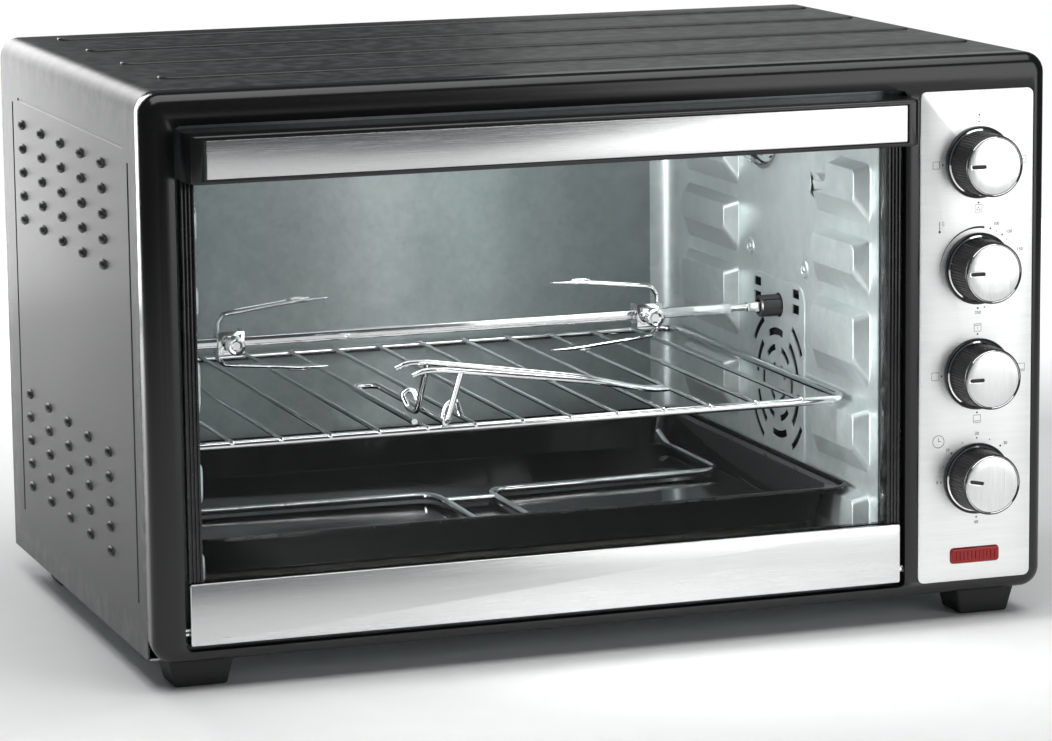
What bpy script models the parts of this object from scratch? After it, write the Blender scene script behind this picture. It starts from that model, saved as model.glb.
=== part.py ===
"""Rotisserie oven: a counter-top oven with a drop-down glass door, a motor-driven spit with two
forks, a wire rack, an enamelled tray and four rotary controls.

Everything is modelled in the body frame: x runs to the right from the middle of the body, y is the
depth behind the front fascia and z the height above the underside of the body. One empty,
body_origin, carries that frame into the part's own frame, whose origin lies between the feet, in
the middle of the bounding box. Units are metres.
"""

import math

import bmesh
import bpy
from mathutils import Matrix, Vector

# ---- Driving sizes ---------------------------------------------------------------------------

BODY_WIDTH = 0.540
BODY_HEIGHT = 0.317
BODY_DEPTH = 0.350
FOOT_HEIGHT = 0.017
HANDLE_REACH = 0.026            # how far the handle stands out in front of the fascia
BULGE_REACH = 0.022             # how far the back panel's pressed bulge stands out behind

SHEET = 0.0010                  # pressed steel sheet
GAP = 0.0003                    # clearance between pieces that rest on each other
PLAY = 0.0006                   # clearance around what turns or slides

FRAME_DEPTH = 0.017
FRAME_CORNER = 0.012
FRAME_ROUNDING = 0.008
LEFT_BORDER = 0.0175            # outer edge of the body to the door opening
TOP_BORDER = 0.018
BOTTOM_BORDER = 0.0069
MULLION = 0.0083                # bar between the door opening and the control plate

PLATE_WIDTH = 0.0719
PLATE_BORDER = 0.0088           # control plate to the body's right edge
PLATE_TOP_BORDER = 0.020
PLATE_BOTTOM_BORDER = 0.0078
PLATE_THICKNESS = 0.0012
PLATE_CORNER = 0.004
PLATE_LEDGE = 0.005             # ledge of the front frame that carries the plate
OPENING_CORNER = 0.004          # small enough for the door's lower corners to swing past

DOOR_GAP = 0.003
DOOR_THICKNESS = 0.012
DOOR_RAIL_HEIGHT = 0.035
DOOR_STILE_WIDTH = 0.008
DOOR_TRIM = 0.0012
GLASS_THICKNESS = 0.004
GLASS_DEPTH = 0.003             # front face of the glass behind the fascia
GLASS_BITE = 0.004              # how far the glass reaches into the door's frame
HANDLE_HEIGHT = 0.0265
HANDLE_WALL = 0.0035
HANDLE_POCKET = 0.0205          # finger pocket, front to back
HANDLE_TRIM = 0.0008
HINGE_DEPTH = 0.005
HINGE_HEIGHT = 0.017
HINGE_PIN_RADIUS = 0.0025
ARM_RADIUS = 0.050              # door support arm, measured from the hinge axis
ARM_WIDTH = 0.005
ARM_THICKNESS = 0.002
DOOR_ANGLE = math.radians(90)

CAVITY_MARGIN = 0.010           # door opening's edge to the cavity's side wall
CAVITY_SILL = 0.0055            # door opening's edge to the cavity's floor and ceiling
CAVITY_DEPTH = 0.343
CAVITY_BEND = 0.017
FLANGE_LAP = 0.005
PAD_RISE = 0.010
PAD_ROWS = ((0.0220, 0.0570), (0.0700, 0.1082), (0.1215, 0.1660), (0.1745, 0.2085), (0.2170, 0.2530))
PAD_COLUMNS = ((0.0293, 0.1100), (0.2310, 0.3200))
PAD_SLOPES = (0.003, 0.014, 0.002, 0.018)   # above, below, front and rear slope of a pad
RACK_ROW = 1                    # the rack's rails rest on this row of pads
TRAY_ROW = 0

HEATER_RADIUS = 0.0035
UPPER_HEATER_HEIGHT = 0.275
LOWER_HEATER_HEIGHT = 0.0195
UPPER_HEATER_DEPTHS = (0.080, 0.262)
LOWER_HEATER_DEPTHS = (0.127, 0.214)
HEATER_TAIL = 0.014             # length of a heater's end behind the cavity wall

SPIT_DEPTH = 0.166
SPIT_HEIGHT = 0.1505
SPIT_WIDTH = 0.006
SPIT_JOURNAL_RADIUS = 0.0025
SPIT_NECK_RADIUS = 0.0022
SOCKET_RADIUS = 0.0068
SOCKET_REACH = 0.014            # socket's length inside the cavity
FORK_LEFT_X = -0.1785           # middle of each fork's hub
FORK_RIGHT_X = 0.0825
FORK_HUB = 0.016
FORK_SPREAD = 0.020             # prong to spit axis
FORK_LENGTH = 0.066             # hub's middle to the prong's tip
FORK_STRIP = 0.0035

LAMP_DEPTH = 0.190
LAMP_HEIGHT = 0.262
LAMP_RADIUS = 0.028
LAMP_REACH = 0.020
FAN_DEPTH = 0.167
FAN_HEIGHT = 0.1018
FAN_RADIUS = 0.036
MOTOR_STANDOFF = 0.020          # cavity wall to the two motors

RACK_WIRE = 0.0025              # radius
RACK_ROD = 0.0014
RACK_FRONT = 0.052
RACK_BACK = 0.338
RACK_PLAY = 0.0015
RACK_RODS = 13
TRAY_FRONT = 0.047
TRAY_BACK = 0.333
TRAY_RIM = 0.010
TRAY_FLOOR_HEIGHT = 0.038
TONGS_WIRE = 0.0018
LIFTER_WIRE = 0.0022

KNOB_X_FROM_PLATE_MIDDLE = 0.0012
KNOB_TOP_HEIGHT = 0.2549
KNOB_PITCH = 0.0621
KNOB_SKIRT_RADIUS = 0.021
KNOB_RADIUS = 0.018
KNOB_REACH = 0.0219
KNOB_CAP_RADIUS = 0.0163
KNOB_SIDES = 20
SHAFT_RADIUS = 0.003
TIMER_POINTER_ANGLE = math.radians(-10)
SWITCH_SIZE = 0.034
SWITCH_DEPTH = 0.024
LENS_WIDTH = 0.031
LENS_HEIGHT = 0.009
LENS_CENTRE_HEIGHT = 0.023

FOOT_TOP_WIDTH = 0.038
FOOT_BOTTOM_WIDTH = 0.030
FOOT_LENGTH = 0.030
FOOT_SIDE_INSET = 0.011
FOOT_FRONT_DEPTH = 0.015
FOOT_REAR_INSET = 0.030

BULGE_WIDTH = 0.400
BULGE_HEIGHT = 0.230
GLAND_RADIUS = 0.0065
GLAND_BORE = 0.0036

# ---- Sizes worked out from the driving ones --------------------------------------------------

HALF_WIDTH = BODY_WIDTH / 2
FRONT_Y = HANDLE_REACH - (HANDLE_REACH + BODY_DEPTH + BULGE_REACH) / 2

PLATE_RIGHT = HALF_WIDTH - PLATE_BORDER
PLATE_LEFT = PLATE_RIGHT - PLATE_WIDTH
PLATE_TOP = BODY_HEIGHT - PLATE_TOP_BORDER
PLATE_FACE = -GAP
KNOB_X = (PLATE_LEFT + PLATE_RIGHT) / 2 + KNOB_X_FROM_PLATE_MIDDLE

OPENING_LEFT = -HALF_WIDTH + LEFT_BORDER
OPENING_RIGHT = PLATE_LEFT - MULLION
OPENING_TOP = BODY_HEIGHT - TOP_BORDER

DOOR_LEFT = OPENING_LEFT + DOOR_GAP
DOOR_RIGHT = OPENING_RIGHT - DOOR_GAP
DOOR_BOTTOM = BOTTOM_BORDER + DOOR_GAP
DOOR_TOP = OPENING_TOP - DOOR_GAP
RAIL_TOP = DOOR_BOTTOM + DOOR_RAIL_HEIGHT
HANDLE_BOTTOM = DOOR_TOP - HANDLE_HEIGHT

CAVITY_LEFT = OPENING_LEFT + CAVITY_MARGIN
CAVITY_RIGHT = OPENING_RIGHT - CAVITY_MARGIN
CAVITY_BOTTOM = BOTTOM_BORDER + CAVITY_SILL
CAVITY_TOP = OPENING_TOP - CAVITY_SILL
FLANGE_DEPTH = FRAME_DEPTH + GAP
WALL_FRONT = FLANGE_DEPTH + SHEET + GAP

RACK_HEIGHT = PAD_ROWS[RACK_ROW][1] + GAP + RACK_WIRE
TRAY_RIM_HEIGHT = PAD_ROWS[TRAY_ROW][1] + GAP
MOTOR_X = CAVITY_RIGHT + SHEET + MOTOR_STANDOFF


# ---- Scene, materials and the body frame -----------------------------------------------------

def clear_scene():
    for item in list(bpy.data.objects):
        bpy.data.objects.remove(item, do_unlink=True)


def make_empty(name, place, parent=None):
    empty = bpy.data.objects.new(name, None)
    bpy.context.collection.objects.link(empty)
    empty.location = place
    empty.parent = parent
    return empty


def make_material(name, colour, roughness, metallic):
    material = bpy.data.materials.new(name)
    material.use_nodes = True
    shader = material.node_tree.nodes["Principled BSDF"]
    shader.inputs["Base Color"].default_value = (*colour, 1.0)
    shader.inputs["Roughness"].default_value = roughness
    shader.inputs["Metallic"].default_value = metallic
    material.diffuse_color = (*colour, 1.0)
    return material


clear_scene()
ROOT = make_empty("body_origin", (0, FRONT_Y, FOOT_HEIGHT))

# Colour, roughness and metallic value of each finish. Every object gets a material of its own.
FINISHES = {
    "black_paint": ((0.030, 0.031, 0.033), 0.35, 0.0),
    "black_plastic": ((0.015, 0.015, 0.016), 0.30, 0.0),
    "rubber": ((0.020, 0.020, 0.020), 0.70, 0.0),
    "brushed_steel": ((0.62, 0.62, 0.61), 0.30, 1.0),
    "galvanised": ((0.50, 0.53, 0.52), 0.40, 0.9),
    "chrome": ((0.75, 0.75, 0.75), 0.12, 1.0),
    "enamel": ((0.008, 0.008, 0.009), 0.10, 0.0),
    "clear_glass": ((0.80, 0.85, 0.84), 0.04, 0.0),
    "red_lens": ((0.45, 0.01, 0.01), 0.15, 0.0),
    "heater_steel": ((0.25, 0.24, 0.23), 0.45, 0.8),
    "motor_grey": ((0.30, 0.31, 0.32), 0.45, 0.6),
    "ceramic": ((0.80, 0.78, 0.72), 0.50, 0.0),
}


# ---- Mesh helpers ----------------------------------------------------------------------------

def finish_object(name, mesh_data, finish, origin=(0, 0, 0), parent=None, smooth=False):
    """Turn a bmesh in the body frame into an object whose origin is at the given place."""
    bmesh.ops.recalc_face_normals(mesh_data, faces=mesh_data.faces)
    origin = Vector(origin)
    bmesh.ops.translate(mesh_data, verts=mesh_data.verts, vec=-origin)
    mesh = bpy.data.meshes.new(name)
    mesh_data.to_mesh(mesh)
    mesh_data.free()
    if smooth:
        mesh.shade_smooth()
        mesh.set_sharp_from_angle(angle=math.radians(35))
    item = bpy.data.objects.new(name, mesh)
    bpy.context.collection.objects.link(item)
    holder = parent or ROOT
    item.parent = holder
    offset = Vector((0, 0, 0)) if holder == ROOT else holder.location
    item.location = origin - offset
    if finish:
        mesh.materials.append(make_material(name, *FINISHES[finish]))
    return item


def loft(rings, closed=False):
    """Skin rings of equal length; the ends are capped unless the rings close on themselves."""
    mesh_data = bmesh.new()
    rows = [[mesh_data.verts.new(point) for point in ring] for ring in rings]
    count = len(rows[0])
    pairs = list(zip(rows, rows[1:]))
    if closed:
        pairs.append((rows[-1], rows[0]))
    for lower, upper in pairs:
        for i in range(count):
            j = (i + 1) % count
            mesh_data.faces.new((lower[i], lower[j], upper[j], upper[i]))
    if not closed:
        mesh_data.faces.new(list(reversed(rows[0])))
        mesh_data.faces.new(rows[-1])
    return mesh_data


def prism(outline, start, end, axis):
    """Extrude a 2D outline along x, y or z. The outline's two values are the other two axes."""
    def place(point, level):
        values = list(point)
        values.insert("xyz".index(axis), level)
        return values
    return loft([[place(point, start) for point in outline], [place(point, end) for point in outline]])


def box(low, high):
    outline = ((low[0], low[1]), (high[0], low[1]), (high[0], high[1]), (low[0], high[1]))
    return prism(outline, low[2], high[2], "z")


def rounded_outline(left, right, bottom, top, radius, steps=4):
    """A rectangle with round corners, anticlockwise from the lower right corner's arc."""
    radius = max(radius, 0.0002)
    corners = ((right - radius, bottom + radius, -90), (right - radius, top - radius, 0),
               (left + radius, top - radius, 90), (left + radius, bottom + radius, 180))
    points = []
    for centre_u, centre_v, start in corners:
        for i in range(steps + 1):
            angle = math.radians(start + 90 * i / steps)
            points.append((centre_u + radius * math.cos(angle), centre_v + radius * math.sin(angle)))
    return points


def turned(profile, centre, axis, sides):
    """Turn a closed profile of (radius, position) pairs about an axis line through the centre."""
    mesh_data = bmesh.new()
    u_axis, v_axis = {"x": ("y", "z"), "y": ("x", "z"), "z": ("x", "y")}[axis]
    along = "xyz".index(axis)
    rows = []
    for radius, position in profile:
        row = []
        for i in range(sides if radius > 0 else 1):
            angle = 2 * math.pi * i / sides
            point = list(centre)
            point[along] = position
            point["xyz".index(u_axis)] += radius * math.cos(angle)
            point["xyz".index(v_axis)] += radius * math.sin(angle)
            row.append(mesh_data.verts.new(point))
        rows.append(row)
    solid = profile[0][0] == 0 and profile[-1][0] == 0
    pairs = list(zip(rows, rows[1:]))
    if not solid:
        pairs.append((rows[-1], rows[0]))
    for lower, upper in pairs:
        for i in range(sides):
            j = (i + 1) % sides
            corners = [lower[i % len(lower)], lower[j % len(lower)], upper[j % len(upper)],
                       upper[i % len(upper)]]
            mesh_data.faces.new(list(dict.fromkeys(corners)))
    return mesh_data


def rod(start, end, radius, sides=12):
    """A straight round bar between two points on a line along x, y or z."""
    axis = "xyz"[max(range(3), key=lambda i: abs(end[i] - start[i]))]
    low, high = start["xyz".index(axis)], end["xyz".index(axis)]
    return turned([(0, low), (radius, low), (radius, high), (0, high)], start, axis, sides)


def wire(points, radius, sides=6, closed=False):
    """A round wire along a chain of points, mitred at each of them."""
    points = [Vector(point) for point in points]
    count = len(points)
    rings = []
    normal = None
    for i, point in enumerate(points):
        before = points[i - 1] if i or closed else None
        after = points[(i + 1) % count] if i < count - 1 or closed else None
        arriving = (point - before).normalized() if before is not None else None
        leaving = (after - point).normalized() if after is not None else None
        tangent = ((arriving or leaving) + (leaving or arriving)).normalized()
        if normal is None:
            normal = tangent.orthogonal().normalized()
        normal = (normal - tangent * normal.dot(tangent)).normalized()
        binormal = tangent.cross(normal)
        ring = []
        for k in range(sides):
            angle = 2 * math.pi * (k + 0.5) / sides
            ring.append(point + radius * (math.cos(angle) * normal + math.sin(angle) * binormal))
        rings.append(ring)
    return loft(rings, closed)


def arc_points(centre, radius, start, end, steps, plane):
    """Points on an arc in a plane such as xy, angles in degrees."""
    points = []
    for i in range(steps + 1):
        angle = math.radians(start + (end - start) * i / steps)
        point = list(centre)
        point["xyz".index(plane[0])] += radius * math.cos(angle)
        point["xyz".index(plane[1])] += radius * math.sin(angle)
        points.append(tuple(point))
    return points


def guide(name, mesh_data):
    """A helper solid for a Boolean: never rendered or exported."""
    item = finish_object(name, mesh_data, None)
    item.hide_render = True
    item.display_type = "WIRE"
    return item


def boolean(target, helper, operation):
    modifier = target.modifiers.new(helper.name, "BOOLEAN")
    modifier.operation = operation
    modifier.solver = "EXACT"
    modifier.object = helper


def cut(target, name, mesh_data):
    boolean(target, guide(name, mesh_data), "DIFFERENCE")


def weld(target, name, mesh_data):
    boolean(target, guide(name, mesh_data), "UNION")


def merged(*parts):
    """Put several bmeshes that don't meet into one, for use as a single cutter."""
    result = bmesh.new()
    for part in parts:
        mesh = bpy.data.meshes.new("part")
        bmesh.ops.recalc_face_normals(part, faces=part.faces)
        part.to_mesh(mesh)
        part.free()
        result.from_mesh(mesh)
        bpy.data.meshes.remove(mesh)
    return result


# ---- Body: frame, housing, back, base, feet --------------------------------------------------

def build_front_frame():
    """Moulded front with a rounded face edge, the door opening and the control plate's recess."""
    rings = []
    insets = [(FRAME_DEPTH, 0.0)]
    steps = 4
    for i in range(steps + 1):
        angle = math.radians(90 * i / steps)
        depth = FRAME_ROUNDING * (1 - math.sin(angle))
        insets.append((depth, FRAME_ROUNDING * (1 - math.cos(angle))))
    for depth, inset in insets:
        outline = rounded_outline(-HALF_WIDTH + inset, HALF_WIDTH - inset, inset, BODY_HEIGHT - inset,
                                  max(FRAME_CORNER - inset, 0.004))
        rings.append([(x, depth, z) for x, z in outline])
    frame = finish_object("front_frame", loft(rings), "black_plastic", smooth=True)
    through = (-0.01, FRAME_DEPTH + 0.01)
    door_hole = prism(rounded_outline(OPENING_LEFT, OPENING_RIGHT, BOTTOM_BORDER, OPENING_TOP,
                                      OPENING_CORNER), *through, "y")
    plate_seat = prism(rounded_outline(PLATE_LEFT - GAP, PLATE_RIGHT + GAP, PLATE_BOTTOM_BORDER - GAP,
                                       PLATE_TOP + GAP, PLATE_CORNER + GAP),
                       -0.01, PLATE_FACE + PLATE_THICKNESS + GAP, "y")
    plate_hole = prism(rounded_outline(PLATE_LEFT + PLATE_LEDGE, PLATE_RIGHT - PLATE_LEDGE,
                                       PLATE_BOTTOM_BORDER + PLATE_LEDGE, PLATE_TOP - PLATE_LEDGE,
                                       PLATE_CORNER), *through, "y")
    cut(frame, "door_hole", door_hole)
    cut(frame, "plate_seat", plate_seat)
    cut(frame, "plate_hole", plate_hole)
    cut(frame, "hinge_bores", merged(*(rod(*pin_line(side, GAP), HINGE_PIN_RADIUS + GAP)
                                       for side in (-1, 1))))


def pin_line(side, extra=0.0):
    """Ends of a hinge pin: 6 mm into the frame and 6 mm into the door's bottom rail."""
    edge = OPENING_LEFT if side < 0 else OPENING_RIGHT
    inner = edge - side * (DOOR_GAP + 0.006 + extra)
    outer = edge + side * (0.006 + extra)
    return ((min(inner, outer), HINGE_DEPTH, HINGE_HEIGHT), (max(inner, outer), HINGE_DEPTH, HINGE_HEIGHT))


def build_housing():
    """Sheet wrapped over the top and both sides, open underneath."""
    def half_path(inset):
        radius = FRAME_CORNER - inset
        side = HALF_WIDTH - inset
        top = BODY_HEIGHT - inset
        arc = arc_points((side - radius, top - radius), radius, 0, 90, 4, "xy")
        return [(side, 0.0)] + arc
    outer = half_path(0)
    inner = half_path(SHEET)
    outline = outer + [(-x, z) for x, z in reversed(outer)]
    outline += [(-x, z) for x, z in inner] + list(reversed(inner))
    finish_object("housing_shell", prism(outline, FRAME_DEPTH + GAP, BODY_DEPTH, "y"),
                  "black_paint", smooth=True)


def build_back_panel():
    """Back sheet with a pressed bulge, lying inside the wrap, and the cord gland in its corner."""
    side = HALF_WIDTH - SHEET - GAP
    top = BODY_HEIGHT - SHEET - GAP
    middle = BODY_HEIGHT / 2
    half_w, half_h = BULGE_WIDTH / 2, BULGE_HEIGHT / 2
    def ring(depth, left, right, low, high, radius):
        return [(x, depth, z) for x, z in rounded_outline(left, right, low, high, radius, 3)]
    flat = (-side, side, SHEET + GAP, top, FRAME_CORNER)
    foot = (-half_w - 0.010, half_w + 0.010, middle - half_h - 0.010, middle + half_h + 0.010, 0.025)
    crown = (-half_w, half_w, middle - half_h, middle + half_h, 0.018)
    reach = BODY_DEPTH + BULGE_REACH
    rings = [ring(reach - SHEET, *crown), ring(BODY_DEPTH - SHEET, *foot), ring(BODY_DEPTH - SHEET, *flat),
             ring(BODY_DEPTH, *flat), ring(BODY_DEPTH, *foot), ring(reach, *crown)]
    panel = finish_object("back_panel", loft(rings), "black_paint")
    gland_x = side - 0.030
    gland_z = 0.026
    cut(panel, "gland_hole", rod((gland_x, BODY_DEPTH - 0.01, gland_z),
                                 (gland_x, BODY_DEPTH + 0.01, gland_z), GLAND_RADIUS + GAP))
    flange = GLAND_RADIUS + 0.003
    profile = [(GLAND_BORE, BODY_DEPTH - 0.006), (flange - 0.001, BODY_DEPTH - 0.006),
               (flange - 0.001, BODY_DEPTH - SHEET - GAP), (GLAND_RADIUS, BODY_DEPTH - SHEET - GAP),
               (GLAND_RADIUS, BODY_DEPTH + GAP), (flange, BODY_DEPTH + GAP),
               (flange, BODY_DEPTH + 0.003), (GLAND_RADIUS - 0.001, BODY_DEPTH + 0.014),
               (GLAND_BORE, BODY_DEPTH + 0.014)]
    finish_object("cord_gland", turned(profile, (gland_x, 0, gland_z), "y", 14), "rubber", smooth=True)


def build_base():
    side = HALF_WIDTH - SHEET - GAP
    finish_object("base_plate", box((-side, FRAME_DEPTH + GAP, 0), (side, BODY_DEPTH, SHEET)), "galvanised")
    rows = {"front": FOOT_FRONT_DEPTH, "rear": BODY_DEPTH - FOOT_REAR_INSET - FOOT_LENGTH}
    for row, front in rows.items():
        for side_name, side in (("left", -1), ("right", 1)):
            outer = HALF_WIDTH - FOOT_SIDE_INSET
            def ring(height, width, slope):
                outline = rounded_outline(outer - width, outer, front + slope, front + FOOT_LENGTH - slope,
                                          0.004, 2)
                return [(side * x, y, height) for x, y in outline]
            rings = [ring(-GAP, FOOT_TOP_WIDTH, 0), ring(-FOOT_HEIGHT, FOOT_BOTTOM_WIDTH, 0.003)]
            finish_object(f"foot_{row}_{side_name}", loft(rings), "rubber")


# ---- Cavity ----------------------------------------------------------------------------------

def build_cavity_flange():
    """Flat ring between the front frame and the cavity, with a slot for each door arm."""
    outer = rounded_outline(OPENING_LEFT - FLANGE_LAP, OPENING_RIGHT + FLANGE_LAP,
                            BOTTOM_BORDER - FLANGE_LAP, OPENING_TOP + FLANGE_LAP, 0.012)
    flange = finish_object("cavity_flange", prism(outer, FLANGE_DEPTH, FLANGE_DEPTH + SHEET, "y"), "galvanised")
    inside = prism(rounded_outline(CAVITY_LEFT, CAVITY_RIGHT, CAVITY_BOTTOM, CAVITY_TOP, 0.003),
                   0, WALL_FRONT, "y")
    cut(flange, "cavity_mouth", inside)
    slots = []
    for side in (-1, 1):
        middle = arm_x(side)
        reach = FLANGE_DEPTH - HINGE_DEPTH
        low = HINGE_HEIGHT + math.sqrt((ARM_RADIUS - ARM_WIDTH / 2) ** 2 - (reach + SHEET) ** 2)
        high = HINGE_HEIGHT + math.sqrt((ARM_RADIUS + ARM_WIDTH / 2) ** 2 - reach ** 2)
        half = ARM_THICKNESS / 2 + PLAY
        slots.append(box((middle - half, 0, low - PLAY), (middle + half, WALL_FRONT, high + PLAY)))
    cut(flange, "arm_slots", merged(*slots))


def arm_x(side):
    edge = OPENING_LEFT if side < 0 else OPENING_RIGHT
    return edge - side * (CAVITY_MARGIN - SHEET) / 2


def build_cavity_liner():
    """Ceiling, back and floor of the cavity in one sheet, between the two side walls."""
    left = CAVITY_LEFT + GAP
    right = CAVITY_RIGHT - GAP
    bend_left = CAVITY_LEFT + CAVITY_BEND + GAP
    bend_right = CAVITY_RIGHT - CAVITY_BEND - GAP
    back = CAVITY_DEPTH + SHEET
    radius = CAVITY_BEND - GAP
    centre_y = CAVITY_DEPTH - CAVITY_BEND
    arc_right = arc_points((CAVITY_RIGHT - CAVITY_BEND, centre_y), radius, 0, 78, 4, "xy")
    arc_left = arc_points((CAVITY_LEFT + CAVITY_BEND, centre_y), radius, 102, 180, 4, "xy")
    plan = [(left, WALL_FRONT), (right, WALL_FRONT)] + arc_right
    plan += [(bend_right, centre_y + radius * math.sin(math.radians(78))), (bend_right, back)]
    plan += [(bend_left, back), (bend_left, centre_y + radius * math.sin(math.radians(78)))] + arc_left
    liner = finish_object("cavity_liner", prism(plan, CAVITY_BOTTOM - SHEET, CAVITY_TOP + SHEET, "z"),
                          "galvanised")
    hollow = box((left - 0.01, 0, CAVITY_BOTTOM), (right + 0.01, CAVITY_DEPTH, CAVITY_TOP))
    cut(liner, "liner_hollow", hollow)


def wall_point(side, run, height, rise=0.0):
    """A point on a side wall's inner face: run goes back along the wall and round its corner."""
    plane = CAVITY_LEFT if side < 0 else CAVITY_RIGHT
    bend_start = CAVITY_DEPTH - CAVITY_BEND
    if run <= bend_start:
        return (plane - side * rise, run, height)
    angle = (run - bend_start) / CAVITY_BEND
    return (plane - side * CAVITY_BEND * (1 - math.cos(angle)),
            bend_start + CAVITY_BEND * math.sin(angle), height)


def build_cavity_wall(name, side):
    """Side wall with two columns of pressed pads; the rack and the tray rest on their upper edges."""
    bend_start = CAVITY_DEPTH - CAVITY_BEND
    quarter = CAVITY_BEND * math.pi / 2
    runs = [WALL_FRONT] + [y for column in PAD_COLUMNS for y in column]
    runs += [bend_start + quarter * i / 4 for i in range(5)]
    heights = [CAVITY_BOTTOM] + [z for row in PAD_ROWS for z in row] + [CAVITY_TOP]
    above, below, near, far = PAD_SLOPES
    mesh_data = bmesh.new()
    grid = [[mesh_data.verts.new(wall_point(side, run, z)) for z in heights] for run in runs]
    for i in range(len(runs) - 1):
        for j in range(len(heights) - 1):
            cell = [grid[i][j], grid[i + 1][j], grid[i + 1][j + 1], grid[i][j + 1]]
            if (runs[i], runs[i + 1]) not in PAD_COLUMNS or (heights[j], heights[j + 1]) not in PAD_ROWS:
                mesh_data.faces.new(cell)
                continue
            low, high = heights[j] + below, heights[j + 1] - above
            first, last = runs[i] + near, runs[i + 1] - far
            crown = [mesh_data.verts.new(wall_point(side, run, z, PAD_RISE))
                     for run, z in ((first, low), (last, low), (last, high), (first, high))]
            mesh_data.faces.new(crown)
            for k in range(4):
                m = (k + 1) % 4
                mesh_data.faces.new((cell[k], cell[m], crown[m], crown[k]))
    bmesh.ops.recalc_face_normals(mesh_data, faces=mesh_data.faces)
    wall = finish_object(name, mesh_data, "galvanised")
    facing = wall.data.polygons[0].normal.x
    sheet = wall.modifiers.new("sheet", "SOLIDIFY")
    sheet.thickness = SHEET
    sheet.offset = 1.0 if facing * side > 0 else -1.0
    plane = CAVITY_LEFT if side < 0 else CAVITY_RIGHT
    def bore(depth, height, radius):
        return rod((plane - 0.02, depth, height), (plane + 0.02, depth, height), radius, 12)
    holes = [bore(depth, height, HEATER_RADIUS + GAP) for depth, height in heater_places().values()]
    if side > 0:
        holes.append(bore(SPIT_DEPTH, SPIT_HEIGHT, SOCKET_RADIUS + PLAY))
        holes.append(bore(LAMP_DEPTH, LAMP_HEIGHT, LAMP_RADIUS - 0.006))
        holes += fan_slots(plane)
    cut(wall, name + "_holes", merged(*holes))


def fan_slots(plane):
    """Curved air slots in front of the fan, as cutters through the right wall."""
    slots = []
    for ring_radius, count in ((0.030, 6), (0.018, 4)):
        sweep = 360 / count - 16
        for k in range(count):
            start = k * 360 / count
            centre = (FAN_DEPTH, FAN_HEIGHT)
            outline = arc_points(centre, ring_radius + 0.0022, start, start + sweep, 4, "xy")
            outline += reversed(arc_points(centre, ring_radius - 0.0022, start, start + sweep, 4, "xy"))
            slots.append(prism(outline, plane - 0.02, plane + 0.02, "x"))
    return slots


def heater_places():
    """Depth and height of each heating rod, by name."""
    return {
        "heater_upper_front": (UPPER_HEATER_DEPTHS[0], UPPER_HEATER_HEIGHT),
        "heater_upper_rear": (UPPER_HEATER_DEPTHS[1], UPPER_HEATER_HEIGHT),
        "heater_lower_front": (LOWER_HEATER_DEPTHS[0], LOWER_HEATER_HEIGHT),
        "heater_lower_rear": (LOWER_HEATER_DEPTHS[1], LOWER_HEATER_HEIGHT),
    }


def build_heaters():
    """Straight rods that pass through both side walls and end in a thin terminal."""
    left = CAVITY_LEFT - SHEET - HEATER_TAIL
    right = CAVITY_RIGHT + SHEET + HEATER_TAIL
    terminal = HEATER_RADIUS / 2
    for name, (depth, height) in heater_places().items():
        profile = [(0, left), (terminal, left), (terminal, left + 0.006), (HEATER_RADIUS, left + 0.006),
                   (HEATER_RADIUS, right - 0.006), (terminal, right - 0.006), (terminal, right), (0, right)]
        finish_object(name, turned(profile, (0, depth, height), "x", 12), "heater_steel", smooth=True)


def build_lamp():
    """Glass dome on the right wall, the bulb under it and the holder behind the wall."""
    wall = CAVITY_RIGHT - GAP
    neck = LAMP_RADIUS - 0.008
    glass = 0.0015
    profile = [(LAMP_RADIUS, wall), (LAMP_RADIUS, wall - 0.003), (neck + 0.002, wall - 0.004),
               (neck, wall - 0.012), (neck - 0.006, wall - LAMP_REACH + 0.001), (0, wall - LAMP_REACH)]
    inner = [(0, wall - LAMP_REACH + glass), (neck - 0.006, wall - LAMP_REACH + glass + 0.001),
             (neck - glass, wall - 0.011), (neck - glass, wall)]
    place = (0, LAMP_DEPTH, LAMP_HEIGHT)
    finish_object("lamp_cover", turned(profile[::-1] + [(neck - glass, wall)] + inner[-2::-1], place, "x", 18),
                  "clear_glass", smooth=True)
    holder_front = CAVITY_RIGHT + SHEET + GAP
    holder_back = holder_front + 0.030
    bore = 0.0075
    holder = [(bore, holder_front), (0.018, holder_front), (0.018, holder_front + 0.004),
              (0.012, holder_front + 0.006), (0.012, holder_back), (0, holder_back),
              (0, holder_back - 0.006), (bore, holder_back - 0.006)]
    finish_object("lamp_holder", turned_cup(holder, place, "x", 14), "ceramic", smooth=True)
    tip = wall - LAMP_REACH + glass + 0.003
    base = bore - PLAY
    bulb = [(0, tip), (0.007, tip + 0.002), (0.010, tip + 0.007), (0.009, tip + 0.012), (base, wall),
            (base, holder_back - 0.007), (0, holder_back - 0.007)]
    finish_object("lamp_bulb", turned(bulb, place, "x", 14), "clear_glass", smooth=True)


def turned_cup(profile, centre, axis, sides):
    """Turn a cup: its profile touches the axis twice, at the outer and the inner end."""
    touching = [i for i, (radius, position) in enumerate(profile) if radius == 0]
    cycle = profile[touching[1]:] + profile[:touching[0] + 1]
    return turned(cycle, centre, axis, sides)


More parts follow.
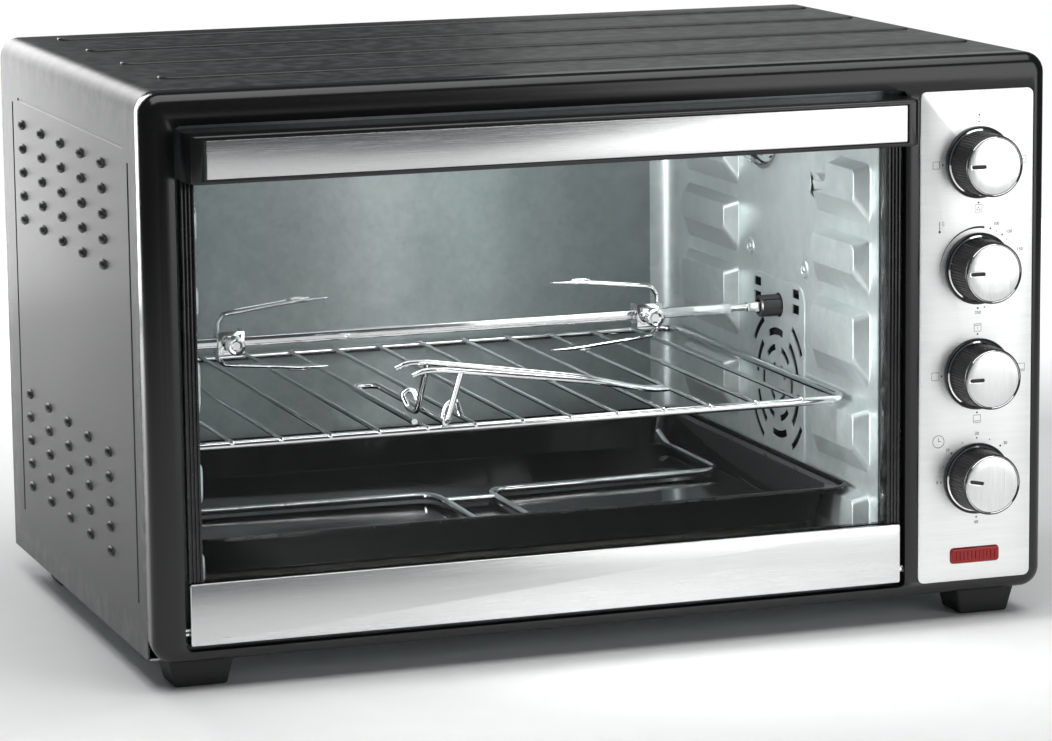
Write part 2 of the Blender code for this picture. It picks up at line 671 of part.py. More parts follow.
def build_fan():
    """Stamped rotor behind the right wall and the motor that carries its shaft."""
    front = CAVITY_RIGHT + SHEET + 0.004
    back = front + 0.008
    blades = 6
    outline = []
    for i in range(blades):
        middle = 2 * math.pi * i / blades
        for radius, offset in ((0.010, -0.42), (FAN_RADIUS, -0.12), (FAN_RADIUS, 0.20), (0.012, 0.34)):
            angle = middle + offset
            outline.append((FAN_DEPTH + radius * math.cos(angle), FAN_HEIGHT + radius * math.sin(angle)))
    axis = (front, FAN_DEPTH, FAN_HEIGHT)
    rotor = finish_object("fan_rotor", prism(outline, front, back, "x"), "galvanised", origin=axis)
    weld(rotor, "fan_shaft", rod((back - 0.002, FAN_DEPTH, FAN_HEIGHT), (MOTOR_X + 0.010, FAN_DEPTH, FAN_HEIGHT),
                                 SHAFT_RADIUS))
    build_motor("fan_motor", FAN_DEPTH, FAN_HEIGHT, 0.021, 0.034, SHAFT_RADIUS)


def build_motor(name, depth, height, radius, length, shaft_radius):
    """Drum motor with a blind shaft hole in its left face."""
    bore = shaft_radius + PLAY
    end = MOTOR_X + length
    profile = [(bore, MOTOR_X), (radius, MOTOR_X), (radius, end), (0, end), (0, MOTOR_X + 0.012),
               (bore, MOTOR_X + 0.012)]
    finish_object(name, turned_cup(profile, (0, depth, height), "x", 20), "motor_grey", smooth=True)


# ---- Spit ------------------------------------------------------------------------------------

def spit_ring(x, size, square):
    """Twelve points round the spit's axis, on a square or on a circle."""
    ring = []
    for i in range(12):
        angle = 2 * math.pi * i / 12
        y, z = math.cos(angle), math.sin(angle)
        scale = size / max(abs(y), abs(z)) if square else size
        ring.append((x, SPIT_DEPTH + scale * y, SPIT_HEIGHT + scale * z))
    return ring


def build_spit():
    """Gear motor, drive socket, square spit and the cradle that carries its left end."""
    axis = (0, SPIT_DEPTH, SPIT_HEIGHT)
    build_motor("spit_motor", SPIT_DEPTH, SPIT_HEIGHT, 0.0235, 0.018, SHAFT_RADIUS + 0.001)
    mouth = CAVITY_RIGHT - SOCKET_REACH
    shoulder = MOTOR_X - PLAY
    shaft = SHAFT_RADIUS + 0.001
    profile = [(0, mouth), (SOCKET_RADIUS, mouth), (SOCKET_RADIUS, shoulder), (shaft, shoulder),
               (shaft, MOTOR_X + 0.010), (0, MOTOR_X + 0.010)]
    socket = finish_object("spit_socket", turned(profile, axis, "x", 16), "chrome", origin=(mouth, *axis[1:]),
                           smooth=True)
    seat = SPIT_WIDTH / 2 + GAP
    cut(socket, "socket_seat", box((mouth - 0.01, SPIT_DEPTH - seat, SPIT_HEIGHT - seat),
                                   (mouth + 0.012, SPIT_DEPTH + seat, SPIT_HEIGHT + seat)))
    half = SPIT_WIDTH / 2
    journal_end = CAVITY_LEFT + 0.0025
    cradle_end = CAVITY_LEFT + GAP + 0.012
    neck_start = mouth - 0.019
    neck_end = mouth - 0.0085
    stations = [(journal_end, SPIT_JOURNAL_RADIUS, False), (cradle_end + 0.001, SPIT_JOURNAL_RADIUS, False),
                (cradle_end + 0.002, half, True), (neck_start, half, True), (neck_start + 0.001,
                SPIT_NECK_RADIUS, False), (neck_end, SPIT_NECK_RADIUS, False), (neck_end + 0.001, half, True),
                (mouth + 0.011, half, True)]
    finish_object("spit_rod", loft([spit_ring(*station) for station in stations]), "chrome",
                  origin=(journal_end, *axis[1:]))
    slot = SPIT_JOURNAL_RADIUS + PLAY
    bottom = SPIT_HEIGHT - slot
    rim = SPIT_HEIGHT + 0.008
    outer = slot + 0.004
    cradle = [(SPIT_DEPTH - outer, bottom - 0.005), (SPIT_DEPTH + outer, bottom - 0.005),
              (SPIT_DEPTH + outer, rim), (SPIT_DEPTH + slot, rim), (SPIT_DEPTH + slot, bottom),
              (SPIT_DEPTH - slot, bottom), (SPIT_DEPTH - slot, rim), (SPIT_DEPTH - outer, rim)]
    finish_object("spit_bracket", prism(cradle, CAVITY_LEFT + GAP, cradle_end, "x"), "galvanised")


def build_fork(name, x, inward):
    """Hub with a square bore and two prongs pointing along the spit towards the food."""
    half = FORK_HUB / 2
    body = SPIT_WIDTH / 2 + 0.003
    hub = box((x - half, SPIT_DEPTH - body, SPIT_HEIGHT - body), (x + half, SPIT_DEPTH + body, SPIT_HEIGHT + body))
    fork = finish_object(name, hub, "chrome", origin=(x, SPIT_DEPTH, SPIT_HEIGHT))
    strip = FORK_STRIP / 2
    back = half - 0.001
    prongs = []
    for up in (-1, 1):
        path = [(-back, 0.0), (-back, 0.5 * FORK_SPREAD), (-0.25 * back, FORK_SPREAD),
                (0.45 * FORK_LENGTH, 0.85 * FORK_SPREAD), (0.72 * FORK_LENGTH, FORK_SPREAD + 0.002),
                (FORK_LENGTH, FORK_SPREAD)]
        widths = [strip, strip, strip, strip, 1.5 * strip, 0.3 * strip]
        rings = []
        for (along, out), width in zip(path, widths):
            px = x + inward * along
            pz = SPIT_HEIGHT + up * out
            lean = up * strip if along > -back else 0
            flat = inward * strip if along == -back else 0
            rings.append([(px - flat, SPIT_DEPTH - 1.4 * width, pz + lean),
                          (px + flat, SPIT_DEPTH - 1.4 * width, pz - lean),
                          (px + flat, SPIT_DEPTH + 1.4 * width, pz - lean),
                          (px - flat, SPIT_DEPTH + 1.4 * width, pz + lean)])
        prongs.append(rings)
    for rings, side in zip(prongs, ("lower", "upper")):
        weld(fork, f"{name}_{side}_prong", loft(rings))
    seat = SPIT_WIDTH / 2 + GAP
    cut(fork, name + "_bore", box((x - 0.02, SPIT_DEPTH - seat, SPIT_HEIGHT - seat),
                                  (x + 0.02, SPIT_DEPTH + seat, SPIT_HEIGHT + seat)))
    face = SPIT_DEPTH - body
    stem = 0.0016
    cut(fork, name + "_screw_hole", rod((x, face - 0.01, SPIT_HEIGHT), (x, SPIT_DEPTH, SPIT_HEIGHT),
                                        stem + GAP, 10))
    screw = [(0, face - 0.012), (0.0045, face - 0.012), (0.0055, face - 0.011), (0.0055, face - 0.006),
             (0.003, face - 0.005), (stem, face - 0.003), (stem, SPIT_DEPTH - seat), (0, SPIT_DEPTH - seat)]
    finish_object(name.replace("fork", "thumb_screw"), turned(screw, (x, 0, SPIT_HEIGHT), "y", 10), "chrome",
                  origin=(x, face, SPIT_HEIGHT), smooth=True)


# ---- Rack, tray, tongs, lifter ---------------------------------------------------------------

def build_rack():
    """Frame wire with round corners and thinner rods from front to back."""
    left = CAVITY_LEFT + RACK_PLAY + RACK_WIRE
    right = CAVITY_RIGHT - RACK_PLAY - RACK_WIRE
    front = RACK_FRONT + RACK_WIRE
    back = RACK_BACK - RACK_WIRE
    outline = rounded_outline(left, right, front, back, 0.014, 3)
    rack = finish_object("wire_rack", wire([(x, y, RACK_HEIGHT) for x, y in outline], RACK_WIRE, 8, True),
                         "chrome", smooth=True)
    pitch = (right - left) / (RACK_RODS + 1)
    rods = [rod((left + pitch * (i + 1), front, RACK_HEIGHT + 0.0007),
                (left + pitch * (i + 1), back, RACK_HEIGHT + 0.0007), RACK_ROD, 6) for i in range(RACK_RODS)]
    weld(rack, "rack_rods", merged(*rods))


def build_tray():
    """Enamelled sheet tray: flat rim with a raised lip, sloping walls and a flat floor."""
    left = CAVITY_LEFT + RACK_PLAY
    right = CAVITY_RIGHT - RACK_PLAY
    lip = 0.0022
    floor_inset = TRAY_RIM + 0.003
    def ring(height, inset, radius):
        outline = rounded_outline(left + inset, right - inset, TRAY_FRONT + inset, TRAY_BACK - inset, radius)
        return [(x, y, height) for x, y in outline]
    rings = [ring(TRAY_FLOOR_HEIGHT - SHEET, floor_inset + 0.002, 0.010),
             ring(TRAY_RIM_HEIGHT, TRAY_RIM, 0.016), ring(TRAY_RIM_HEIGHT, 0, 0.022),
             ring(TRAY_RIM_HEIGHT + lip, 0, 0.022), ring(TRAY_RIM_HEIGHT + lip, 0.0025, 0.020),
             ring(TRAY_RIM_HEIGHT + SHEET, 0.0035, 0.019), ring(TRAY_RIM_HEIGHT + SHEET, TRAY_RIM + SHEET, 0.015),
             ring(TRAY_FLOOR_HEIGHT, floor_inset + 0.003, 0.009)]
    finish_object("baking_tray", loft(rings), "enamel")


def build_tongs():
    """Wire handle for the hot tray, lying on the rack: two grips, legs and a narrow foot loop."""
    lie = RACK_HEIGHT + RACK_WIRE + GAP + TONGS_WIRE
    join = (0.066, 0.096, lie)
    grip_a = [(-0.107, 0.066, lie + 0.032), (-0.097, 0.062, lie + 0.034), (0.010, 0.080, lie + 0.015),
              (0.052, 0.090, lie + 0.001), join]
    grip_b = [(-0.106, 0.040, lie + 0.032), (-0.099, 0.035, lie + 0.034), (0.014, 0.064, lie + 0.014),
              (0.056, 0.084, lie + 0.001), join]
    foot = [(-0.100, 0.060, lie), (-0.099, 0.176, lie), (-0.095, 0.181, lie), (-0.089, 0.181, lie),
            (-0.085, 0.176, lie), (-0.084, 0.052, lie)]
    leg_a = [(-0.092, 0.0635, lie + 0.0325), (-0.090, 0.088, lie), (-0.0995, 0.100, lie)]
    leg_b = [(-0.080, 0.0385, lie + 0.0300), (-0.083, 0.056, lie), (-0.084, 0.075, lie)]
    tongs = finish_object("rack_tongs", wire(grip_a, TONGS_WIRE), "chrome", smooth=True)
    for label, path in (("grip", grip_b), ("foot", foot), ("leg_rear", leg_a), ("leg_front", leg_b)):
        weld(tongs, "tongs_" + label, wire(path, TONGS_WIRE * (1.04 if label == "foot" else 1.0)))


def build_lifter():
    """Wire fork for lifting the spit out, lying in the tray: two arms with hooks and a grip."""
    lie = TRAY_FLOOR_HEIGHT + GAP + LIFTER_WIRE
    grip_left, grip_right = -0.041, -0.008
    arm = 0.205
    elbow = 0.004
    left_end, right_end = -0.205, 0.149
    hook_back = 0.295
    left = [(grip_left, 0.090, lie), (grip_left, arm - elbow, lie), (grip_left - elbow, arm, lie),
            (left_end + 0.014, arm + 0.004, lie), (left_end, arm + 0.020, lie), (left_end, hook_back, lie),
            (left_end + 0.002, hook_back + 0.014, lie + 0.007)]
    right = [(grip_right, 0.090, lie), (grip_right, arm - elbow, lie), (grip_right + elbow, arm, lie),
             (right_end - 0.014, arm + 0.004, lie), (right_end, arm + 0.020, lie), (right_end, hook_back, lie),
             (right_end - 0.002, hook_back + 0.014, lie + 0.007)]
    loop = arc_points(((grip_left + grip_right) / 2, 0.092, lie), (grip_right - grip_left) / 2, 180, 360, 6, "xy")
    cross = [(grip_left, arm - 0.020, lie), (grip_right, arm - 0.020, lie)]
    lifter = finish_object("spit_lifter", wire(left, LIFTER_WIRE), "chrome", smooth=True)
    for label, path, scale in (("right_arm", right, 1.0), ("loop", loop, 1.04), ("cross", cross, 0.96)):
        weld(lifter, "lifter_" + label, wire(path, LIFTER_WIRE * scale))


# ---- Door ------------------------------------------------------------------------------------

def glass_box(extra):
    inset = DOOR_STILE_WIDTH - GLASS_BITE
    return box((DOOR_LEFT + inset - extra, GLASS_DEPTH - extra, RAIL_TOP - GLASS_BITE - extra),
               (DOOR_RIGHT - inset + extra, GLASS_DEPTH + GLASS_THICKNESS + extra,
                HANDLE_BOTTOM + GLASS_BITE + extra))


def build_door():
    """Bottom-hinged door: every piece of its frame has a groove that holds the glass."""
    hinge = make_empty("door_hinge_axis", (0, HINGE_DEPTH, HINGE_HEIGHT), ROOT)
    axis = (0, HINGE_DEPTH, HINGE_HEIGHT)
    face = DOOR_TRIM + GAP
    def add(name, mesh_data, finish, smooth=False):
        return finish_object(name, mesh_data, finish, origin=axis, parent=hinge, smooth=smooth)
    rail = add("door_bottom_rail", box((DOOR_LEFT, face, DOOR_BOTTOM), (DOOR_RIGHT, DOOR_THICKNESS, RAIL_TOP)),
               "black_plastic")
    add("door_bottom_trim", box((DOOR_LEFT, 0, DOOR_BOTTOM), (DOOR_RIGHT, DOOR_TRIM, RAIL_TOP)), "brushed_steel")
    stile_low, stile_high = RAIL_TOP + GAP, HANDLE_BOTTOM - GAP
    stiles = {
        "door_stile_left": (DOOR_LEFT, DOOR_LEFT + DOOR_STILE_WIDTH),
        "door_stile_right": (DOOR_RIGHT - DOOR_STILE_WIDTH, DOOR_RIGHT),
    }
    framing = [rail]
    for name, (left, right) in stiles.items():
        framing.append(add(name, box((left, face, stile_low), (right, DOOR_THICKNESS, stile_high)), "black_plastic"))
    handle = add("door_handle", box((DOOR_LEFT, -HANDLE_REACH, HANDLE_BOTTOM), (DOOR_RIGHT, DOOR_THICKNESS, DOOR_TOP)),
                 "black_plastic")
    framing.append(handle)
    pocket_front = -HANDLE_REACH + HANDLE_WALL
    cut(handle, "finger_pocket", box((DOOR_LEFT + HANDLE_WALL, pocket_front, HANDLE_BOTTOM - 0.01),
                                     (DOOR_RIGHT - HANDLE_WALL, pocket_front + HANDLE_POCKET,
                                      DOOR_TOP - HANDLE_WALL)))
    edge = 0.0026
    trim_left, trim_right = DOOR_LEFT + DOOR_STILE_WIDTH, DOOR_RIGHT - DOOR_STILE_WIDTH
    seat_depth = HANDLE_TRIM + 2 * GAP
    cut(handle, "trim_seat", box((trim_left - GAP, -HANDLE_REACH - 0.01, HANDLE_BOTTOM + edge - GAP),
                                 (trim_right + GAP, -HANDLE_REACH + seat_depth, DOOR_TOP - edge + GAP)))
    add("door_handle_trim", box((trim_left, -HANDLE_REACH + GAP, HANDLE_BOTTOM + edge),
                                (trim_right, -HANDLE_REACH + GAP + HANDLE_TRIM, DOOR_TOP - edge)), "brushed_steel")
    add("door_glass", glass_box(0), "clear_glass")
    seat = guide("glass_seat", glass_box(GAP))
    for piece in framing:
        boolean(piece, seat, "DIFFERENCE")
    cut(rail, "rail_bores", merged(*(rod(*pin_line(side, GAP), HINGE_PIN_RADIUS + GAP) for side in (-1, 1))))
    for side_name, side in (("left", -1), ("right", 1)):
        finish_object("hinge_pin_" + side_name, rod(*pin_line(side), HINGE_PIN_RADIUS), "chrome", smooth=True)
        build_arm("door_arm_" + side_name, side, add)


def build_arm(name, side, add):
    """Door arm: an arc about the hinge axis that slides through the flange as the door turns."""
    inner, outer = ARM_RADIUS - ARM_WIDTH / 2, ARM_RADIUS + ARM_WIDTH / 2
    behind_door = DOOR_THICKNESS + GAP - HINGE_DEPTH
    start = math.degrees(math.acos(behind_door / inner))
    in_slot = math.degrees(math.acos((FLANGE_DEPTH - HINGE_DEPTH) / ARM_RADIUS))
    end = in_slot - math.degrees(DOOR_ANGLE) - 2
    centre = (HINGE_DEPTH, HINGE_HEIGHT)
    outline = arc_points(centre, outer, start, end, 12, "xy")
    outline += reversed(arc_points(centre, inner, start, end, 12, "xy"))
    middle = arm_x(side)
    add(name, prism(outline, middle - ARM_THICKNESS / 2, middle + ARM_THICKNESS / 2, "x"), "galvanised")


# ---- Controls --------------------------------------------------------------------------------

CONTROLS = (
    ("function", "function_switch", 0.0),
    ("temperature", "thermostat", 0.0),
    ("heater", "heater_switch", 0.0),
    ("timer", "timer", TIMER_POINTER_ANGLE),
)


def knob_height(index):
    return KNOB_TOP_HEIGHT - KNOB_PITCH * index


def build_control_plate():
    outline = rounded_outline(PLATE_LEFT, PLATE_RIGHT, PLATE_BOTTOM_BORDER, PLATE_TOP, PLATE_CORNER)
    plate = finish_object("control_plate", prism(outline, PLATE_FACE, PLATE_FACE + PLATE_THICKNESS, "y"),
                          "brushed_steel")
    holes = [rod((KNOB_X, -0.01, knob_height(i)), (KNOB_X, 0.01, knob_height(i)), SHAFT_RADIUS + PLAY)
             for i in range(len(CONTROLS))]
    holes.append(prism(lens_outline(GAP), -0.01, 0.01, "y"))
    cut(plate, "plate_holes", merged(*holes))
    lens = prism(lens_outline(0), PLATE_FACE - 0.0014, PLATE_FACE + PLATE_THICKNESS + 0.006, "y")
    finish_object("indicator_lens", lens, "red_lens")


def lens_outline(extra):
    middle = KNOB_X - 0.001
    half_w, half_h = LENS_WIDTH / 2 + extra, LENS_HEIGHT / 2 + extra
    return rounded_outline(middle - half_w, middle + half_w, LENS_CENTRE_HEIGHT - half_h,
                           LENS_CENTRE_HEIGHT + half_h, 0.0015 + extra, 3)


def build_knob(index, name, switch_name, pointer_angle):
    """Turning knob with a brushed cap, and the switch whose bore takes the knob's shaft."""
    height = knob_height(index)
    foot = PLATE_FACE - PLAY
    face = -KNOB_REACH
    switch_front = PLATE_FACE + PLATE_THICKNESS + GAP
    shaft_end = switch_front + 0.014
    axis = (KNOB_X, 0, height)
    profile = [(0, shaft_end), (SHAFT_RADIUS, shaft_end), (SHAFT_RADIUS, foot), (KNOB_SKIRT_RADIUS, foot),
               (KNOB_SKIRT_RADIUS, foot - 0.002), (KNOB_RADIUS + 0.0007, foot - 0.003), (KNOB_RADIUS, face),
               (KNOB_CAP_RADIUS + GAP, face), (KNOB_CAP_RADIUS + GAP, face + 0.0015), (0, face + 0.0015)]
    finish_object("knob_" + name, turned(profile, axis, "y", KNOB_SIDES), "black_plastic",
                  origin=(KNOB_X, face, height), smooth=True)
    cap_profile = [(0, face + 0.0002), (KNOB_CAP_RADIUS, face + 0.0002), (KNOB_CAP_RADIUS, face + 0.0012),
                   (0, face + 0.0012)]
    cap = finish_object("knob_cap_" + name, turned(cap_profile, axis, "y", KNOB_SIDES), "brushed_steel",
                        origin=(KNOB_X, face, height), smooth=True)
    slot = box((-0.0146, face - 0.001, -0.0011), (-0.0057, face + 0.0008, 0.0011))
    bmesh.ops.rotate(slot, verts=slot.verts, cent=(0, 0, 0), matrix=Matrix.Rotation(pointer_angle, 3, "Y"))
    bmesh.ops.translate(slot, verts=slot.verts, vec=(KNOB_X, 0, height))
    cut(cap, "pointer_" + name, slot)
    half = SWITCH_SIZE / 2
    switch = finish_object(switch_name, box((KNOB_X - half, switch_front, height - half),
                                            (KNOB_X + half, switch_front + SWITCH_DEPTH, height + half)), "motor_grey")
    cut(switch, switch_name + "_bore", rod((KNOB_X, -0.01, height), (KNOB_X, shaft_end + 0.001, height),
                                           SHAFT_RADIUS + PLAY))


def build_oven():
    build_front_frame()
    build_housing()
    build_back_panel()
    build_base()
    build_cavity_flange()
    build_cavity_liner()
    build_cavity_wall("cavity_wall_left", -1)
    build_cavity_wall("cavity_wall_right", 1)
    build_heaters()
    build_lamp()
    build_fan()
    build_spit()
    build_fork("fork_left", FORK_LEFT_X, 1)
    build_fork("fork_right", FORK_RIGHT_X, -1)
    build_rack()
    build_tray()
    build_tongs()
    build_lifter()
    build_door()
    build_control_plate()
    for index, control in enumerate(CONTROLS):
        build_knob(index, *control)


build_oven()
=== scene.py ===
# %% [markdown]
# # A counter-top rotisserie oven
# The oven is a steel box with a moulded front, a glass door that drops down, a bright cavity with a
# spit, a rack and a tray, and four knobs on a brushed plate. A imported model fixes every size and
# every moving body, and this lesson builds the looks around it, one piece at a time.

# %% Load the fixed frame
import math

import bpy
from mathutils import Matrix, Vector


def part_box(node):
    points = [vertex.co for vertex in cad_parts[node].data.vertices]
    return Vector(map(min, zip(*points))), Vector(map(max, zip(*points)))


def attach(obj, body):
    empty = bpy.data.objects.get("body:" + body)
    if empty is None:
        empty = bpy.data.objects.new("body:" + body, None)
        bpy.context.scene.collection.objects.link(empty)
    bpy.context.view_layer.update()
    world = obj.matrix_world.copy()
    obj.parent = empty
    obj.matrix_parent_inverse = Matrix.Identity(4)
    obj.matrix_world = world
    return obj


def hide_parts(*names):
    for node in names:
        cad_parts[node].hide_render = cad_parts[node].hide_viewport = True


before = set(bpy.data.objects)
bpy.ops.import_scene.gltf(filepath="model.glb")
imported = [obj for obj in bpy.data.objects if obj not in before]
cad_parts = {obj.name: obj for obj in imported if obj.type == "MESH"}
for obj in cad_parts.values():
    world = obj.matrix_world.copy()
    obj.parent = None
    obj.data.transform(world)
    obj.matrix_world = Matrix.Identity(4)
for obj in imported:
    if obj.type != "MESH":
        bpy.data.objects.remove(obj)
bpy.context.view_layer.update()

# %% [markdown]
# ## Places
# A maker measures an oven from its front face and from the underside of its body. The helper `at`
# turns such a measure (x from the middle, depth behind the face, height above the underside) into
# a point of the frame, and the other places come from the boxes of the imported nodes.

# %% Measure the main places
MM = 0.001
SAME = 0.01 * MM  # two places closer than this are the same place
PAST = 10 * MM  # how far a cutter reaches past what it cuts
FIT = 0.3 * MM  # the play between a plate and its seat
AHEAD, BEHIND = -20 * MM, 40 * MM  # depths well in front of the moulding and well behind it
front_low, front_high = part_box("front_frame")


def at(x, depth, height):
    return Vector((x, front_low.y + depth, front_low.z + height))


def measure(point):
    """The other way round: a point of the frame as x, depth and height."""
    return Vector((point.x, point.y - front_low.y, point.z - front_low.z))


def place_of(node):
    low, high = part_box(node)
    return measure(low), measure(high)


BODY_LEFT, BODY_RIGHT = front_low.x, front_high.x
BODY_TOP = place_of("front_frame")[1].z
BODY_BACK = place_of("housing_shell")[1].y
SHEET = 1.0 * MM
CAVITY_LEFT = place_of("cavity_wall_left")[0].x + SHEET
CAVITY_RIGHT = place_of("cavity_wall_right")[1].x - SHEET
CAVITY_BACK = place_of("cavity_liner")[1].y - SHEET
CAVITY_FLOOR = place_of("cavity_liner")[0].z + SHEET
CAVITY_TOP = place_of("cavity_liner")[1].z - SHEET
CAVITY_MOUTH = place_of("cavity_wall_left")[0].y
PLATE_LOW, PLATE_HIGH = place_of("control_plate")
RAIL_LOW, RAIL_HIGH = place_of("door_bottom_trim")
HANDLE_LOW, HANDLE_HIGH = place_of("door_handle")
print("cavity in mm:", round((CAVITY_RIGHT - CAVITY_LEFT) / MM, 1), "wide,",
      round((CAVITY_TOP - CAVITY_FLOOR) / MM, 1), "high")

# %% [markdown]
# ## The camera
# The oven is seen from its left and a little above, from well over two metres away with a long
# lens, so its edges hardly converge.

# %% Set up the camera
RIGHTWARDS = Vector((0.94324, -0.33193, -0.01066))
UPWARDS = Vector((0.06732, 0.15968, 0.98487))
FORWARDS = Vector((0.32521, 0.92969, -0.17296))
EYE = (-0.8289, -2.3932, 0.5816)
FOCAL_LENGTH, SENSOR_WIDTH = 145.61, 36.0
lens_data = bpy.data.cameras.new("camera")
lens_data.lens = FOCAL_LENGTH
lens_data.sensor_width = SENSOR_WIDTH
camera = bpy.data.objects.new("camera", lens_data)
bpy.context.scene.collection.objects.link(camera)
turn = Matrix((RIGHTWARDS, UPWARDS, -FORWARDS)).transposed().to_4x4()
camera.matrix_world = Matrix.Translation(EYE) @ turn
bpy.context.scene.camera = camera
bpy.context.scene.view_settings.view_transform = "Standard"
print("camera distance in m:", round(camera.location.length, 2))

# %% [markdown]
# ## Shaping by hand
# Each piece starts as a primitive, is shaped in edit mode, and is finished with modifiers. An
# operator acts on all that is selected, so every helper first clears the selection, and picks
# faces or edges by their place.


# %% Helpers to select
def unselect():
    if bpy.context.mode != "OBJECT":
        bpy.ops.object.mode_set(mode="OBJECT")
    bpy.ops.object.select_all(action="DESELECT")


def take(piece):
    unselect()
    piece.select_set(True)
    bpy.context.view_layer.objects.active = piece
    return piece


def edit(piece, kind="FACE", everything=True):
    take(piece)
    bpy.ops.object.mode_set(mode="EDIT")
    bpy.ops.mesh.select_mode(type=kind)
    bpy.ops.mesh.select_all(action="SELECT" if everything else "DESELECT")


def pick(piece, kind, parts, wanted):
    """Open edit mode with just the wanted points, edges or faces selected."""
    edit(piece, kind, False)
    bpy.ops.object.mode_set(mode="OBJECT")
    for part in getattr(piece.data, parts):
        part.select = bool(wanted(part))
    bpy.ops.object.mode_set(mode="EDIT")


def pick_faces(piece, wanted):
    """The faces for which wanted(centre, normal) holds."""
    pick(piece, "FACE", "polygons", lambda face: wanted(measure(face.center), face.normal))


def pick_edges(piece, wanted):
    """The edges for which wanted(one end, other end) holds."""
    pick(piece, "EDGE", "edges",
         lambda edge: wanted(*(measure(piece.data.vertices[end].co) for end in edge.vertices)))


def pick_points(piece, wanted):
    """The points for which wanted(place) holds."""
    pick(piece, "VERT", "vertices", lambda vertex: wanted(measure(vertex.co)))


def settle(piece, smooth=30):
    """Back to object mode, place kept in the mesh, edges shaded round below the given angle."""
    take(piece)
    bpy.ops.object.transform_apply(location=True, rotation=True, scale=True)
    if smooth:
        bpy.ops.object.shade_smooth_by_angle(angle=math.radians(smooth))
    return piece


def outwards(piece):
    """Merge doubled points and turn every face outwards."""
    edit(piece)
    bpy.ops.mesh.remove_doubles(threshold=SAME)
    bpy.ops.mesh.normals_make_consistent(inside=False)
    return settle(piece, 0)


# %% Helpers to start a piece
def named(name):
    piece = bpy.context.object
    piece.name = name
    piece.data.name = name
    return piece


def block(name, low, high):
    """A box between two corners, given as x, depth and height."""
    low, high = at(*low), at(*high)
    unselect()
    bpy.ops.mesh.primitive_cube_add(size=1, location=(low + high) / 2)
    bpy.context.object.scale = high - low
    return settle(named(name), 0)


def drum(name, centre, radius, length, axis="y", sides=48):
    """A round bar about x, y or z, from its middle."""
    angles = {"x": (0, math.pi / 2, 0), "y": (math.pi / 2, 0, 0), "z": (0, 0, 0)}
    unselect()
    bpy.ops.mesh.primitive_cylinder_add(vertices=sides, radius=radius, depth=length,
                                        location=at(*centre), rotation=angles[axis])
    return settle(named(name), 0)


def drawn(name, points, closed=False):
    """A line through points of the frame, as a curve object."""
    unselect()
    bpy.ops.curve.primitive_bezier_curve_add()
    piece = named(name)
    piece.data.splines.clear()
    line = piece.data.splines.new("POLY")
    line.points.add(len(points) - 1)
    for spot, point in zip(line.points, points):
        spot.co = (*point, 1.0)
    line.use_cyclic_u = closed
    piece.data.dimensions = "3D"
    return piece


NEARLY_HALF = 0.48  # two bends on one stretch never meet


def bent(points, bend, closed=False, steps=5):
    """Round every corner of a chain of points with an arc-like curve of the given reach."""
    count = len(points)
    way = []
    for index, corner in enumerate(points):
        if not closed and index in (0, count - 1):
            way.append(corner)
            continue
        before = points[index - 1] - corner
        after = points[(index + 1) % count] - corner
        reach = min(bend, before.length * NEARLY_HALF, after.length * NEARLY_HALF)
        start, end = corner + before.normalized() * reach, corner + after.normalized() * reach
        for step in range(steps + 1):
            share = step / steps
            way.append(start * (1 - share) ** 2 + corner * 2 * share * (1 - share) + end * share ** 2)
    return way


def swept(name, points, radius, ring, widths=(), closed=False):
    """A round bar along points of the frame. Widths multiply its radius, one for every point."""
    bar = drawn(name, points, closed)
    for spot, width in zip(bar.data.splines[0].points, widths):
        spot.radius = width
    bar.data.bevel_depth = radius
    bar.data.bevel_resolution = ring
    bar.data.use_fill_caps = not closed
    bpy.ops.object.convert(target="MESH")
    return bar


def wire(name, points, radius, bend=6 * MM, closed=False, ring=3):
    """A bent round wire through points given as x, depth and height."""
    way = bent([at(*point) for point in points], bend, closed)
    return settle(outwards(swept(name, way, radius, ring, closed=closed)), 40)


def turned(name, rows, centre, axis="y", sides=48, smooth=35):
    """Spin rows of (radius, position) about an axis through the centre."""
    along = {"x": Vector((1, 0, 0)), "y": Vector((0, 1, 0)), "z": Vector((0, 0, 1))}[axis]
    across = Vector((0, 0, 1)) if axis != "z" else Vector((1, 0, 0))
    middle = at(*centre)
    middle -= along * middle.dot(along)
    origin = at(0, 0, 0).dot(along)
    points = [middle + across * radius + along * (origin + position) for radius, position in rows]
    piece = drawn(name, points)
    bpy.ops.object.convert(target="MESH")
    edit(piece, "EDGE")
    bpy.ops.mesh.spin(steps=sides, angle=math.tau, center=middle, axis=along, use_auto_merge=True)
    outwards(piece)
    return settle(piece, smooth)


# %% Helpers to change and join pieces
def apply_modifier(piece, kind, **settings):
    take(piece)
    change = piece.modifiers.new("change", kind)
    for key, value in settings.items():
        setattr(change, key, value)
    bpy.ops.object.modifier_apply(modifier=change.name)


def carve(piece, *cutters):
    for cutter in cutters:
        apply_modifier(piece, "BOOLEAN", object=cutter, operation="DIFFERENCE", solver="EXACT")
        bpy.data.objects.remove(cutter)
    return piece


def open_faces(piece, wanted, kind="FACE"):
    pick_faces(piece, wanted)
    bpy.ops.mesh.delete(type=kind)
    return settle(piece, 0)


def round_edges(piece, wanted, width, segments=4, clamp=True):
    pick_edges(piece, wanted)
    bpy.ops.mesh.bevel(offset=width, segments=segments, affect="EDGES", clamp_overlap=clamp)
    return settle(piece, 0)


def soften(piece, width, segments=2, angle=40):
    """A small bevel on every sharp edge, so that edges catch the light."""
    apply_modifier(piece, "BEVEL", width=width, segments=segments, limit_method="ANGLE",
                   angle_limit=math.radians(angle))
    return settle(piece)


